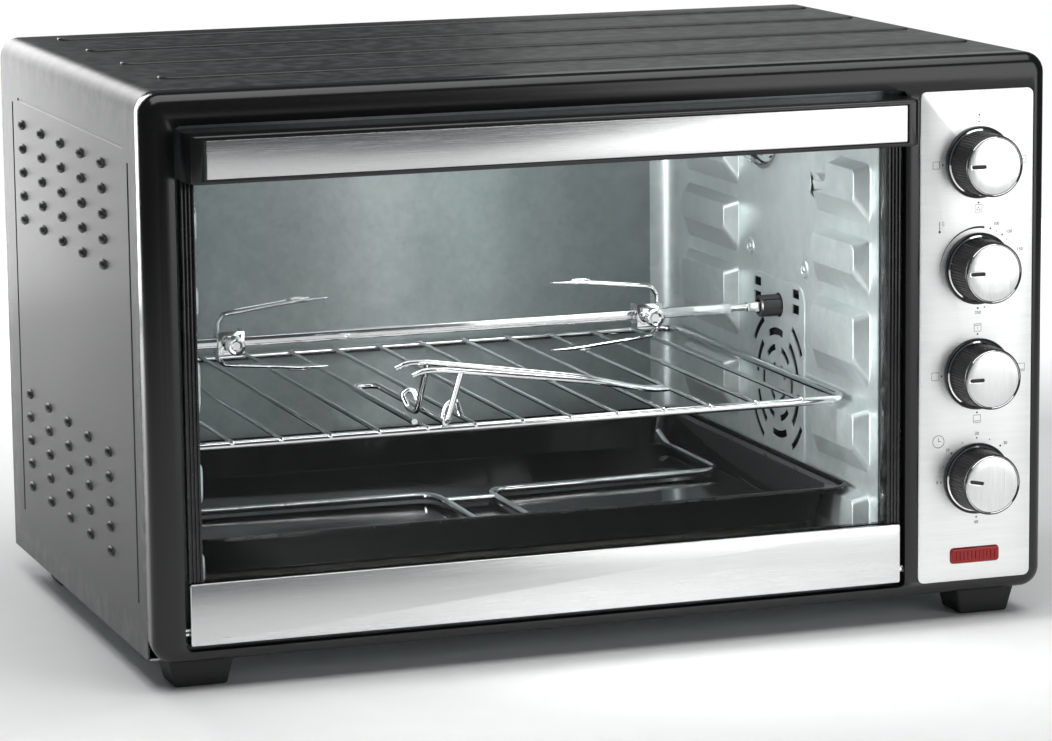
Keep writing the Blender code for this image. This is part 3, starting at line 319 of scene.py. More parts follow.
def join(name, pieces):
    unselect()
    for piece in pieces:
        piece.select_set(True)
    bpy.context.view_layer.objects.active = pieces[0]
    bpy.ops.object.join()
    return named(name)


def copy(piece, name, shift=(0, 0, 0)):
    take(piece)
    bpy.ops.object.duplicate()
    bpy.ops.transform.translate(value=shift)
    return settle(named(name), 0)


def dress(piece, material, body, node=None):
    """Give a piece its finish, its body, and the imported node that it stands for."""
    piece.data.materials.clear()
    piece.data.materials.append(material)
    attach(piece, body)
    if node:
        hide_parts(node)


def in_step(across, up, pitch, every=2):
    """Is this direction in one of every so many steps round a circle? The pitch is in degrees."""
    return int(math.degrees(math.atan2(up, across)) % 360 / pitch) % every == 0


def knurl(piece, wanted, width, depth):
    """Push the wanted faces in, each by itself, which leaves ribs between them."""
    pick_faces(piece, wanted)
    bpy.ops.mesh.inset(thickness=width, depth=-depth, use_individual=True)
    return settle(piece, 35)


def along_axis(a, b, axis):
    """True for an edge that runs along x, y or z."""
    others = [i for i in range(3) if "xyz"[i] != axis]
    return all(abs(a[i] - b[i]) < SAME for i in others) and (a - b).length > SAME


def round_along(piece, axis, width, segments=4):
    return round_edges(piece, lambda a, b: along_axis(a, b, axis), width, segments)


def round_front(piece, face, width, segments=4):
    return round_edges(piece, lambda a, b: max(a.y, b.y) < face + SAME, width, segments)


def plate(name, low, high, corner, rim, steps):
    """A flat block with round corners and a soft front rim, each in its number of steps."""
    piece = round_along(block(name, low, high), "y", corner, steps[0])
    return settle(round_front(piece, low.y, rim, steps[1]))


def around(name, low, high, front, back, play=FIT):
    """A cutter for a seat or a window: a box with some play round its four sides."""
    return block(name, (low.x - play, front, low.z - play), (high.x + play, back, high.z + play))


def profile(base, rows):
    """Rows of radius and place in millimetres, the place counted from the base."""
    return [(radius * MM, base + place * MM) for radius, place in rows]


print("helpers ready")

# %% [markdown]
# ## Finishes
# Real surfaces are never one flat colour. Painted steel has a fine orange peel, brushed steel has
# lines, zinc has crystals, and hands leave smudges. Each effect is a node group with two outputs:
# a shade for colour and gloss, and a height for a bump. It is built once and used by many finishes.


# %% Helpers for nodes
def put(tree, kind, values=None, **settings):
    node = tree.nodes.new(kind)
    for key, value in settings.items():
        setattr(node, key, value)
    for socket, value in (values or {}).items():
        node.inputs[socket].default_value = value
    return node


def link(tree, source, outlet, target, inlet):
    tree.links.new(source.outputs[outlet], target.inputs[inlet])


def new_group(name, outputs=("Shade", "Height")):
    group = bpy.data.node_groups.new(name, "ShaderNodeTree")
    group.interface.new_socket("Vector", in_out="INPUT", socket_type="NodeSocketVector")
    scale = group.interface.new_socket("Scale", in_out="INPUT", socket_type="NodeSocketFloat")
    scale.default_value = 100.0
    for label in outputs:
        group.interface.new_socket(label, in_out="OUTPUT", socket_type="NodeSocketFloat")
    return group, put(group, "NodeGroupInput"), put(group, "NodeGroupOutput")


def contrast(group, source, low, high):
    """Spread the part of a value between low and high over the whole range."""
    node = put(group, "ShaderNodeMapRange", {"From Min": low, "From Max": high})
    group.links.new(source, node.inputs["Value"])
    return node.outputs["Result"]


def blended(group, first, second, share, kind="MIX"):
    node = put(group, "ShaderNodeMix", {"Factor": share}, data_type="RGBA", blend_type=kind)
    group.links.new(first, node.inputs["A"])
    group.links.new(second, node.inputs["B"])
    return node.outputs["Result"]


# %% [markdown]
# ### Four effects
# *Peel* is two sizes of soft noise, for paint and moulded plastic. *Lines* is noise on coordinates
# that the finish stretches, for brushed metal. *Crystals* is a cell pattern with soft noise, for
# galvanised sheet. *Polish* is a broad noise, for chrome and glass that hands have touched.

# %% Build the effects
def noise(group, start, factor, detail, lift=0.5):
    wide = put(group, "ShaderNodeMath", {1: factor}, operation="MULTIPLY")
    link(group, start, "Scale", wide, 0)
    node = put(group, "ShaderNodeTexNoise", {"Detail": detail, "Roughness": lift})
    link(group, start, "Vector", node, "Vector")
    link(group, wide, 0, node, "Scale")
    return node.outputs["Fac"]


def effect(name, fine, broad, share, spread):
    """A group that mixes a fine and a broad noise: the height is fine, the shade is both."""
    group, start, end = new_group(name)
    small = contrast(group, noise(group, start, fine, 4.0), 0.3, 0.7)
    large = contrast(group, noise(group, start, broad, 3.0), *spread)
    group.links.new(small, end.inputs["Height"])
    group.links.new(blended(group, small, large, share), end.inputs["Shade"])
    return group


PEEL = effect("orange_peel", 1.0, 0.004, 0.45, (0.3, 0.7))
LINES = effect("brushed_lines", 1.0, 0.08, 0.35, (0.3, 0.7))
POLISH = effect("polish_and_touch", 0.4, 0.06, 0.8, (0.35, 0.75))


def build_crystals():
    group, start, end = new_group("zinc_crystals")
    cells = put(group, "ShaderNodeTexVoronoi", feature="F1")
    link(group, start, "Vector", cells, "Vector")
    link(group, start, "Scale", cells, "Scale")
    tone = put(group, "ShaderNodeSeparateColor")
    link(group, cells, "Color", tone, "Color")
    mottle = contrast(group, noise(group, start, 0.35, 6.0, 0.65), 0.3, 0.7)
    group.links.new(blended(group, tone.outputs["Red"], mottle, 0.72), end.inputs["Shade"])
    group.links.new(noise(group, start, 2.5, 3.0), end.inputs["Height"])
    return group


CRYSTALS = build_crystals()

# %% [markdown]
# *Wear* finds convex edges, where paint thins and metal polishes, and breaks them up with noise.

# %% Build the wear mask
def build_wear():
    group, start, end = new_group("edge_wear", ("Mask",))
    shape = put(group, "ShaderNodeNewGeometry")
    edges = contrast(group, shape.outputs["Pointiness"], 0.52, 0.60)
    patches = contrast(group, noise(group, start, 1.0, 4.0), 0.42, 0.62)
    both = put(group, "ShaderNodeMath", operation="MULTIPLY")
    group.links.new(edges, both.inputs[0])
    group.links.new(patches, both.inputs[1])
    link(group, both, 0, end, "Mask")
    return group


WEAR = build_wear()
print("effects:", [group.name for group in (PEEL, LINES, POLISH, CRYSTALS, WEAR)])


# %% [markdown]
# A finish is one Principled shader. The effect's shade picks a colour between two close tones and
# a roughness between two values, and its height makes a bump measured in real metres.

# %% The helpers that make a finish
def textured(name, effect_group, scale, stretch, rough, bump):
    """A material whose gloss and relief follow an effect, and the nodes that go on from there."""
    material = bpy.data.materials.new(name)
    material.use_nodes = True
    tree = material.node_tree
    shader = tree.nodes["Principled BSDF"]
    where = put(tree, "ShaderNodeTexCoord")
    stretched = put(tree, "ShaderNodeMapping", {"Scale": stretch})
    pattern = put(tree, "ShaderNodeGroup", {"Scale": scale}, node_tree=effect_group)
    gloss = put(tree, "ShaderNodeMapRange", {"To Min": rough[0], "To Max": rough[1]})
    relief = put(tree, "ShaderNodeBump", {"Distance": bump, "Strength": 1.0})
    link(tree, where, "Object", stretched, "Vector")
    link(tree, stretched, "Vector", pattern, "Vector")
    link(tree, pattern, "Shade", gloss, "Value")
    link(tree, gloss, "Result", shader, "Roughness")
    link(tree, pattern, "Height", relief, "Height")
    link(tree, relief, "Normal", shader, "Normal")
    return material, tree, shader, where, pattern


def finish(name, effect_group, scale, stretch, dark, light, rough, bump, metallic=0.0, worn=None):
    material, tree, shader, where, pattern = textured(name, effect_group, scale, stretch, rough, bump)
    shader.inputs["Metallic"].default_value = metallic
    tones = put(tree, "ShaderNodeValToRGB")
    tones.color_ramp.elements[0].color = (*dark, 1)
    tones.color_ramp.elements[1].color = (*light, 1)
    link(tree, pattern, "Shade", tones, "Fac")
    colour = tones.outputs["Color"]
    if worn:
        mask = put(tree, "ShaderNodeGroup", {"Scale": 90.0}, node_tree=WEAR)
        link(tree, where, "Object", mask, "Vector")
        over = put(tree, "ShaderNodeMix", data_type="RGBA")
        over.inputs["B"].default_value = (*worn, 1)
        link(tree, mask, "Mask", over, "Factor")
        tree.links.new(colour, over.inputs["A"])
        colour = over.outputs["Result"]
    tree.links.new(colour, shader.inputs["Base Color"])
    return material


def grey(value):
    return (value, value, value)


# %% [markdown]
# ### The oven's finishes
# Paint with a fine peel, gloss plastic, steel brushed along or across, zinc sheet with a green-grey
# tint, chrome, vitreous enamel and rubber. Dark plastics differ mostly in gloss, so their tones are
# close and their roughness isn't.

# %% Make the finishes
EVEN = (1, 1, 1)
ALONG_X = (0.012, 1, 1)
ALONG_Z = (1, 1, 0.012)
paint = finish("black_housing_paint", PEEL, 900, EVEN, grey(0.020), grey(0.030), (0.34, 0.42),
               0.006 * MM, worn=grey(0.07))
frame_plastic = finish("black_frame_plastic", PEEL, 1200, EVEN, grey(0.006), grey(0.010),
                       (0.16, 0.24), 0.002 * MM, worn=grey(0.03))
handle_plastic = finish("black_handle_plastic", PEEL, 1400, EVEN, grey(0.007), grey(0.012),
                        (0.14, 0.22), 0.002 * MM, worn=grey(0.03))
knob_plastic = finish("black_knob_plastic", PEEL, 1500, EVEN, grey(0.008), grey(0.014),
                      (0.25, 0.36), 0.003 * MM, worn=grey(0.04))
trim_steel = finish("brushed_trim_steel", LINES, 3000, ALONG_X, grey(0.66), grey(0.80),
                    (0.20, 0.30), 0.004 * MM, 1.0)
panel_steel = finish("brushed_panel_steel", LINES, 3000, ALONG_X, grey(0.78), grey(0.90),
                     (0.28, 0.40), 0.004 * MM, 1.0)
cap_steel = finish("brushed_cap_steel", LINES, 3200, ALONG_Z, grey(0.70), grey(0.86),
                   (0.20, 0.30), 0.004 * MM, 1.0)
zinc = finish("galvanised_sheet", CRYSTALS, 260, EVEN, (0.42, 0.475, 0.475), (0.56, 0.61, 0.605),
              (0.30, 0.44), 0.004 * MM, 0.6)
chrome = finish("chromed_wire", POLISH, 400, EVEN, grey(0.78), grey(0.92), (0.06, 0.14),
                0.001 * MM, 1.0)
enamel = finish("black_enamel", PEEL, 500, EVEN, grey(0.003), grey(0.006), (0.05, 0.10),
                0.003 * MM, worn=grey(0.02))
rubber = finish("black_rubber", PEEL, 1600, EVEN, grey(0.012), grey(0.022), (0.60, 0.75),
                0.010 * MM)
heater_steel = finish("heat_stained_steel", POLISH, 300, EVEN, (0.17, 0.14, 0.12),
                      (0.36, 0.33, 0.31), (0.35, 0.50), 0.003 * MM, 0.9)
motor_steel = finish("zinc_plated_motor", POLISH, 350, EVEN, grey(0.34), grey(0.48),
                     (0.30, 0.42), 0.003 * MM, 0.9)
dark_steel = finish("oiled_dark_steel", POLISH, 350, EVEN, grey(0.06), grey(0.12), (0.28, 0.40),
                    0.003 * MM, 0.9)
switch_plastic = finish("switch_case_plastic", PEEL, 900, EVEN, (0.10, 0.095, 0.085),
                        (0.15, 0.14, 0.125), (0.45, 0.60), 0.006 * MM)
ceramic = finish("lamp_ceramic", PEEL, 700, EVEN, (0.66, 0.63, 0.55), (0.78, 0.75, 0.68),
                 (0.40, 0.55), 0.006 * MM)
ink = finish("dial_ink", PEEL, 1500, EVEN, grey(0.018), grey(0.035), (0.45, 0.60), 0.002 * MM)
# Near-black for the louvres' mouths: painted shade for the dark inside of the housing.
louvre_mouth_shade = finish("louvre_mouth_shade", PEEL, 900, EVEN, grey(0.002), grey(0.004), (0.7, 0.85),
                     0.003 * MM)
enamel.node_tree.nodes["Principled BSDF"].inputs["Specular IOR Level"].default_value = 0.22
print("finishes:", len(bpy.data.materials))

# %% [markdown]
# ### Glass and the red lens
# Clear glass bends light, which leaves a room behind it dark in a path tracer. So for rays that
# look for a lamp, the pane gives way to a transparent shader, and light reaches the cavity. The
# red lens is coloured plastic that lets some light through.

# %% Make the glass
THIN_PANE_IOR = 1.14  # a thin clean pane mirrors little, so it bends light less than a solid block


def glass(name, tint, rough, bump):
    material, tree, shader = textured(name, POLISH, 120, EVEN, rough, bump)[:3]
    shader.inputs["Base Color"].default_value = (*tint, 1)
    shader.inputs["Transmission Weight"].default_value = 1.0
    shader.inputs["IOR"].default_value = THIN_PANE_IOR
    path = put(tree, "ShaderNodeLightPath")
    clear = put(tree, "ShaderNodeBsdfTransparent")
    choice = put(tree, "ShaderNodeMixShader")
    link(tree, path, "Is Shadow Ray", choice, "Fac")
    link(tree, shader, "BSDF", choice, 1)
    link(tree, clear, "BSDF", choice, 2)
    tree.links.new(choice.outputs["Shader"], tree.nodes["Material Output"].inputs["Surface"])
    return material


door_pane = glass("door_pane", (0.98, 0.99, 0.985), (0.0, 0.012), 0.0002 * MM)
lamp_glass = glass("lamp_glass", (0.97, 0.99, 0.98), (0.02, 0.08), 0.02 * MM)
red_lens = finish("red_lens", POLISH, 500, EVEN, (0.42, 0.002, 0.004), (0.62, 0.006, 0.010),
                  (0.08, 0.16), 0.004 * MM)
red_shader = red_lens.node_tree.nodes["Principled BSDF"]
red_shader.inputs["Transmission Weight"].default_value = 0.35
print("glass: door pane, lamp dome, lens")

# %% [markdown]
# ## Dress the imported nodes
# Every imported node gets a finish, even those that a finer piece will stand for, so that nothing
# is ever left with a plain colour.

# %% Give each node its finish
NODE_FINISH = {
    "housing_shell": paint, "back_panel": paint, "front_frame": frame_plastic,
    "door_bottom_rail": frame_plastic, "door_stile_left": frame_plastic,
    "door_stile_right": frame_plastic, "door_handle": handle_plastic,
    "door_bottom_trim": trim_steel, "door_handle_trim": trim_steel, "control_plate": panel_steel,
    "door_glass": door_pane, "lamp_cover": lamp_glass, "lamp_bulb": lamp_glass,
    "lamp_holder": ceramic, "indicator_lens": red_lens, "baking_tray": enamel,
    "cord_gland": rubber, "fan_motor": motor_steel, "spit_motor": motor_steel,
    "function_switch": switch_plastic, "thermostat": switch_plastic,
    "heater_switch": switch_plastic, "timer": switch_plastic,
}
STARTS = {"foot": rubber, "cavity": zinc, "base": zinc, "heater": heater_steel, "fan": dark_steel,
          "spit": chrome, "fork": chrome, "thumb": chrome, "wire": chrome, "rack": chrome,
          "hinge": chrome, "door_arm": zinc, "knob_cap": cap_steel, "knob": knob_plastic}
for node_name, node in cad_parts.items():
    match = NODE_FINISH.get(node_name)
    if match is None:
        match = next(STARTS[start] for start in sorted(STARTS, key=len, reverse=True)
                     if node_name.startswith(start))
    node.data.materials.clear()
    node.data.materials.append(match)
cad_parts["spit_bracket"].data.materials[0] = zinc
print("dressed nodes:", len(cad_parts))


# %% [markdown]
# ## The housing
# One steel sheet is folded over the roof and down both sides. It could be bent from a plane, but a
# block with two round edges and its open faces deleted gives the same fold in fewer steps. A
# Solidify modifier then gives the sheet its real thickness.

# %% Fold the housing
CORNER = 12 * MM
HOUSING_FRONT = place_of("housing_shell")[0].y
housing = block("housing", (BODY_LEFT, HOUSING_FRONT, 0), (BODY_RIGHT, BODY_BACK, BODY_TOP))
round_edges(housing, lambda a, b: along_axis(a, b, "y") and a.z > BODY_TOP / 2, CORNER, 8)
open_faces(housing, lambda centre, normal: normal.z < -0.9 or abs(normal.y) > 0.9)
apply_modifier(housing, "SOLIDIFY", thickness=SHEET, offset=-1)
print("housing faces:", len(housing.data.polygons))

# %% [markdown]
# Each side has three pressed grooves round its louvres. A groove is a round bar, sunk a little
# into the sheet and carved away, which leaves the soft channel that a press makes.

# %% Press the side grooves
# each groove: its start and end as depth and height, its radius, and how deep it is sunk
GROOVES = (
    ((46, 283.7), (306, 283.7), 1.4, 0.5),
    ((35, 276), (35, 29), 2.4, 0.8),
    ((320, 281), (320, 27), 2.2, 0.85),
)
for side, face in ((-1, BODY_LEFT), (1, BODY_RIGHT)):
    for start, end, radius, sunk in GROOVES:
        x = face + side * (radius - sunk) * MM
        bar = wire("groove", [(x, start[0] * MM, start[1] * MM), (x, end[0] * MM, end[1] * MM)],
                   radius * MM, ring=4)
        carve(housing, bar)
settle(housing)
dress(housing, paint, "oven_body", "housing_shell")
print("grooves pressed:", 2 * len(GROOVES))

# %% [markdown]
# ### Louvres
# Twenty-five louvres above and twenty-five below let the warm air out of each side. A louvre is a
# half dome that opens backwards. Its mouth is closed by a near-black face and a thin near-black egg,
# painted shade that stands for the dark inside of the housing. It starts as a sphere, is flattened,
# and loses its inner and rear halves to two bisect cuts. It is modelled once and copied.

# %% Model one louvre
LOUVRE_COLUMNS = (98.0, 147.7, 197.4, 247.1, 297.0)
LOUVRE_ROWS = (269.0, 254.6, 240.2, 225.8, 211.4, 103.8, 89.4, 75.0, 60.6, 46.2)


def egg(name, size, place, rings, turn=0):
    """A sphere turned about x, then stretched along its own axes."""
    unselect()
    bpy.ops.mesh.primitive_uv_sphere_add(segments=16, ring_count=rings, radius=1,
                                         location=Vector(place) * MM, rotation=(turn, 0, 0))
    piece = named(name)
    piece.scale = Vector(size) * MM
    return settle(piece, 40)


def make_louvre(side):
    dome = egg("louvre", (2.3, 3.1, 8.0), (0, 0, 0), 10, math.pi / 2)
    edit(dome)
    bpy.ops.mesh.bisect(plane_co=(0, 0, 0), plane_no=(0, 1, 0), use_fill=True, clear_outer=True)
    edit(dome)
    bpy.ops.mesh.bisect(plane_co=(0, 0, 0), plane_no=(side, 0, 0), use_fill=True, clear_inner=True)
    settle(dome, 40)
    dome.data.materials.append(paint)
    dome.data.materials.append(louvre_mouth_shade)
    # The face that closes the rear mouth takes the near-black: painted shade in the opening.
    for face in dome.data.polygons:
        face.material_index = 1 if face.normal.y > 0.9 else 0
    # A thin near-black egg behind the mouth: a painted shadow in the opening.
    slit_shade = egg("slit_shade", (0.22, 3.0, 2.9), (0, 1.6, -0.4), 8)
    slit_shade.data.materials.append(louvre_mouth_shade)
    return join("louvre", [dome, slit_shade])


# %% Copy the louvres
for side, face, label in ((-1, BODY_LEFT, "left"), (1, BODY_RIGHT, "right")):
    pattern = make_louvre(side)
    rows = []
    for depth in LOUVRE_COLUMNS:
        for height in LOUVRE_ROWS:
            rows.append(copy(pattern, "louvre", at(face, depth * MM, height * MM)))
    bpy.data.objects.remove(pattern)
    louvres = join("louvres_" + label, rows)
    settle(louvres, 40)
    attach(louvres, "oven_body")
print("louvres on each side:", len(LOUVRE_COLUMNS) * len(LOUVRE_ROWS))

# %% [markdown]
# ### Roof ribs
# Four broad ribs are pressed up across the roof to stiffen it. Each is a low block with round
# corners and a soft upper edge, which draws two fine lines of light.

# %% Raise the roof ribs
RIB_LEFT, RIB_RIGHT, RIB_SUNK, RIB_RISE = -240 * MM, 255 * MM, 0.4 * MM, 1.1 * MM
ribs = []
for start, end in ((72, 87), (157, 172), (241, 256), (316, 331)):
    rib = block("rib", (RIB_LEFT, start * MM, BODY_TOP - RIB_SUNK),
                (RIB_RIGHT, end * MM, BODY_TOP + RIB_RISE))
    round_along(rib, "z", 6.5 * MM, 6)
    round_edges(rib, lambda a, b: min(a.z, b.z) > BODY_TOP + RIB_RISE - 0.1 * MM, 1.0 * MM, 3)
    ribs.append(rib)
roof_ribs = settle(join("roof_ribs", ribs))
dress(roof_ribs, paint, "oven_body")
print("roof ribs:", len(ribs))

# %% [markdown]
# ## The front moulding
# The front is a glossy black moulding with a large soft edge. It starts as a block. Its four long
# edges are rounded first, then the whole front rim, and the door opening, the seat of the control
# plate and its window are carved out.

# %% Mould the front
FRAME_DEPTH = place_of("front_frame")[1].y
DOOR_LEFT, DOOR_RIGHT = RAIL_LOW.x, RAIL_HIGH.x
DOOR_BOTTOM, DOOR_TOP = RAIL_LOW.z, HANDLE_HIGH.z
GAP = 3.0 * MM
moulding = block("front_moulding", (BODY_LEFT, 0, 0), (BODY_RIGHT, FRAME_DEPTH, BODY_TOP))
round_along(moulding, "y", CORNER, 10)
round_front(moulding, 0, 8 * MM, 10)
opening = block("opening", (DOOR_LEFT - GAP, AHEAD, DOOR_BOTTOM - GAP),
                (DOOR_RIGHT + GAP, BEHIND, DOOR_TOP + GAP))
round_along(opening, "y", 4 * MM, 5)
seat = around("seat", PLATE_LOW, PLATE_HIGH, AHEAD, PLATE_HIGH.y + FIT)
round_along(seat, "y", 4.3 * MM, 5)
window = around("window", PLATE_LOW, PLATE_HIGH, AHEAD, BEHIND, -5 * MM)
carve(moulding, opening, seat, window)
soften(moulding, 0.5 * MM, 2, 60)
dress(moulding, frame_plastic, "oven_body", "front_frame")
print("moulding faces:", len(moulding.data.polygons))

# %% [markdown]
# ## The door
# The door is a pane held by a handle bar above, a rail below and a slim post on each side. The
# posts are ribbed, so they are blocks with narrow channels carved down their length.

# %% Rib the door posts
CHANNEL_HALF, CHANNEL_DEPTH = 0.5 * MM, 1.1 * MM
for label in ("left", "right"):
    low, high = place_of("door_stile_" + label)
    post = block("door_post_" + label, low, high)
    for share in (0.24, 0.50, 0.76):
        middle = low.x + (high.x - low.x) * share
        channel = block("channel", (middle - CHANNEL_HALF, low.y - PAST, low.z - PAST),
                        (middle + CHANNEL_HALF, low.y + CHANNEL_DEPTH, high.z + PAST))
        carve(post, channel)
    soften(post, 0.35 * MM)
    dress(post, frame_plastic, "door", "door_stile_" + label)
print("door posts ribbed")

# %% [markdown]
# ### The bottom strip
# A brushed steel strip covers the rail. Its edges are folded, so they catch a thin line of light.

# %% Fold the bottom strip
strip = plate("door_bottom_strip", RAIL_LOW, RAIL_HIGH, 1.2 * MM, 0.6 * MM, (4, 3))
dress(strip, trim_steel, "door", "door_bottom_trim")
print("strip in mm:", round((RAIL_HIGH.x - RAIL_LOW.x) / MM, 1), "long")

# %% [markdown]
# ### The handle
# The handle is a hollow bar: fingers reach up behind its front wall. A steel inlay sits in a shallow
# seat on its face, inside a raised black rim.

# %% Shape the handle bar
INLAY_LOW, INLAY_HIGH = place_of("door_handle_trim")
WALL, FINGER_ROOM, SEAT_DEPTH = 3.5 * MM, 24 * MM, 1.4 * MM
handle = block("handle_bar", HANDLE_LOW, HANDLE_HIGH)
round_edges(handle, lambda a, b: along_axis(a, b, "z") and a.y < HANDLE_LOW.y + 1 * MM, 4 * MM, 6)
round_edges(handle, lambda a, b: max(a.y, b.y) < HANDLE_LOW.y + 4.1 * MM and not
            along_axis(a, b, "z"), 1.6 * MM, 5)
pocket = block("pocket", (HANDLE_LOW.x + WALL, HANDLE_LOW.y + WALL, HANDLE_LOW.z - PAST),
               (HANDLE_HIGH.x - WALL, HANDLE_LOW.y + FINGER_ROOM, HANDLE_HIGH.z - WALL))
round_edges(pocket, lambda a, b: a.z > HANDLE_LOW.z and b.z > HANDLE_LOW.z, 2 * MM, 4)
inlay_seat = around("inlay_seat", INLAY_LOW, INLAY_HIGH, HANDLE_LOW.y - PAST,
                    HANDLE_LOW.y + SEAT_DEPTH)
carve(handle, pocket, inlay_seat)
soften(handle, 0.4 * MM, 2, 55)
dress(handle, handle_plastic, "door", "door_handle")
print("handle stands out mm:", round(-HANDLE_LOW.y / MM, 1))

# %% Set the steel inlay
inlay = plate("handle_inlay", INLAY_LOW, INLAY_HIGH, 0.8 * MM, 0.55 * MM, (3, 3))
dress(inlay, trim_steel, "door", "door_handle_trim")
print("inlay set")

# %% [markdown]
# ## The cavity walls
# Each side wall is one sheet with two columns of pressed pads. The rack and the tray rest on the
# pads' upper edges. The wall starts as a flat face. Bisect cuts score it along every pad's outline,
# the pads are inset and raised as regions, and their lower and rear slopes are drawn out longer.

# %% Places of the pads
BEND = 17 * MM
BEND_START = CAVITY_BACK - BEND
PAD_RISE = 10 * MM
PAD_ROWS = ((22.0, 57.0), (70.0, 108.2), (121.5, 166.0), (174.5, 208.5), (217.0, 253.0))
PAD_COLUMNS = ((29.3, 110.0), (231.0, 320.0))
NOTCH_DEPTH, NOTCH_HEIGHT = 75.0, 240.0


def in_pad(centre):
    """Is this place on a pad? The top front pad has a notch out of its rear upper corner."""
    depth, height = centre.y / MM, centre.z / MM
    inside = any(a < depth < b for a, b in PAD_COLUMNS) and any(a < height < b for a, b in PAD_ROWS)
    notch = NOTCH_DEPTH < depth < PAD_COLUMNS[0][1] and height > NOTCH_HEIGHT
    return inside and not notch


# %% Helpers for pressed sheet
def score(piece, axis, positions):
    """Cut a sheet along planes, without taking anything away."""
    direction = Vector([1.0 if letter == axis else 0.0 for letter in "xyz"])
    for position in positions:
        edit(piece)
        bpy.ops.mesh.bisect(plane_co=at(*(direction * position * MM)), plane_no=direction)
    settle(piece, 0)


def slide(piece, wanted, shift):
    pick_points(piece, wanted)
    bpy.ops.transform.translate(value=shift)
    settle(piece, 0)


def soften_folds(piece, width, angle=25, segments=3):
    edit(piece, "EDGE", False)
    bpy.ops.mesh.edges_select_sharp(sharpness=math.radians(angle))
    bpy.ops.mesh.bevel(offset=width, segments=segments, affect="EDGES", clamp_overlap=False)
    settle(piece, 0)


# %% Press one wall
SHOULDER = 2.0  # how far a pad's crown stands inside its outline before its slopes are drawn out
SHEET_WALL = 0.9 * MM


def near(value, marks, room=0.35):
    return any(abs(value / MM - mark) < room for mark in marks)


def pressed_wall(name, side):
    plane = CAVITY_LEFT if side < 0 else CAVITY_RIGHT
    crown = plane - side * PAD_RISE
    outer = plane + side * PAST
    wall = block(name, (min(plane, outer), CAVITY_MOUTH, CAVITY_FLOOR),
                 (max(plane, outer), BEND_START, CAVITY_TOP))
    open_faces(wall, lambda centre, normal: normal.x * side > -0.9)
    score(wall, "y", [edge for column in PAD_COLUMNS for edge in column] + [NOTCH_DEPTH])
    score(wall, "z", [edge for row in PAD_ROWS for edge in row] + [NOTCH_HEIGHT])
    pick_faces(wall, lambda centre, normal: in_pad(centre))
    bpy.ops.mesh.inset(thickness=SHOULDER * MM, depth=PAD_RISE, use_boundary=True, use_even_offset=True)
    settle(wall, 0)
    high = lambda spot: abs(spot.x - crown) < 0.1 * MM
    feet = [row[0] + SHOULDER for row in PAD_ROWS]
    heads = [row[1] - SHOULDER for row in PAD_ROWS]
    rears = [column[1] - SHOULDER for column in PAD_COLUMNS]
    slide(wall, lambda spot: high(spot) and near(spot.z, feet), (0, 0, 12 * MM))
    slide(wall, lambda spot: high(spot) and near(spot.y, rears), (0, -14 * MM, 0))
    slide(wall, lambda spot: high(spot) and near(spot.z, heads), (0, 0, -1 * MM))
    round_edges(wall, lambda a, b: abs(abs(a.x - b.x) - PAD_RISE) < 0.1 * MM and
                abs(a.y - b.y) > 0.5 * MM and abs(a.z - b.z) > 0.5 * MM, 3.9 * MM, 4, False)
    soften_folds(wall, 0.8 * MM)
    return wall


# %% [markdown]
# The wall's rear edge is spun a quarter turn into the back corner, which gives the tall round
# corner that shines. Then the sheet gets its thickness, outwards from the cavity.

# %% Turn the rear corner and open the window
def finish_wall(wall, side):
    plane = CAVITY_LEFT if side < 0 else CAVITY_RIGHT
    pick_edges(wall, lambda a, b: min(a.y, b.y) > BEND_START - SAME)
    bpy.ops.mesh.spin(steps=8, angle=-side * math.pi / 2, axis=(0, 0, 1),
                      center=at(plane - side * BEND, BEND_START, 0))
    settle(wall, 0)
    rear = max(vertex.co.y for vertex in wall.data.vertices) - front_low.y
    print(wall.name, "rear corner reaches", round(rear / MM, 1), "of", round(CAVITY_BACK / MM, 1))
    outwards(wall)
    facing = sum(face.normal.x * face.area for face in wall.data.polygons)
    if facing * side > 0:
        edit(wall)
        bpy.ops.mesh.flip_normals()
        settle(wall, 0)
    apply_modifier(wall, "SOLIDIFY", thickness=SHEET_WALL, offset=-1)
    return wall


MIDDLE_START, MIDDLE_END = 112, 229
WINDOW = (129.5, 207, 34, 163.4)


def open_window(wall, low_y, high_y, low_z, high_z):
    """Cut a window into the flat middle of a wall, behind the fan's plate."""
    middle = lambda centre, normal: (abs(normal.x) > 0.99 and
                                     MIDDLE_START < centre.y / MM < MIDDLE_END)
    for direction, position in (((0, 1, 0), low_y), ((0, 1, 0), high_y),
                                ((0, 0, 1), low_z), ((0, 0, 1), high_z)):
        pick_faces(wall, middle)
        bpy.ops.mesh.bisect(plane_co=at(*(Vector(direction) * position * MM)), plane_no=direction)
        settle(wall, 0)
    return open_faces(wall, lambda centre, normal: middle(centre, normal) and
                      low_y < centre.y / MM < high_y and low_z < centre.z / MM < high_z)


wall_left = finish_wall(pressed_wall("cavity_side_left", -1), -1)
wall_right = pressed_wall("cavity_side_right", 1)
wall_right = finish_wall(open_window(wall_right, *WINDOW), 1)

# %% [markdown]
# ### Holes in the walls
# Four heating rods pass through each wall, and the right wall also has the lamp's hole. All cutters
# of a wall are joined, so one boolean makes every hole.

# %% Bore the heater holes and the lamp's hole
def middle_of(node):
    low, high = place_of(node)
    return (low + high) / 2


HEATERS = [place_of("heater_" + row + end) for row in ("upper", "lower") for end in ("_front", "_rear")]
SPIT, LAMP, FAN = middle_of("spit_socket"), middle_of("lamp_cover"), middle_of("fan_rotor")


def bore(wall_x, middle, radius):
    return drum("bore", (wall_x, middle.y, middle.z), radius, 40 * MM, "x", 32)


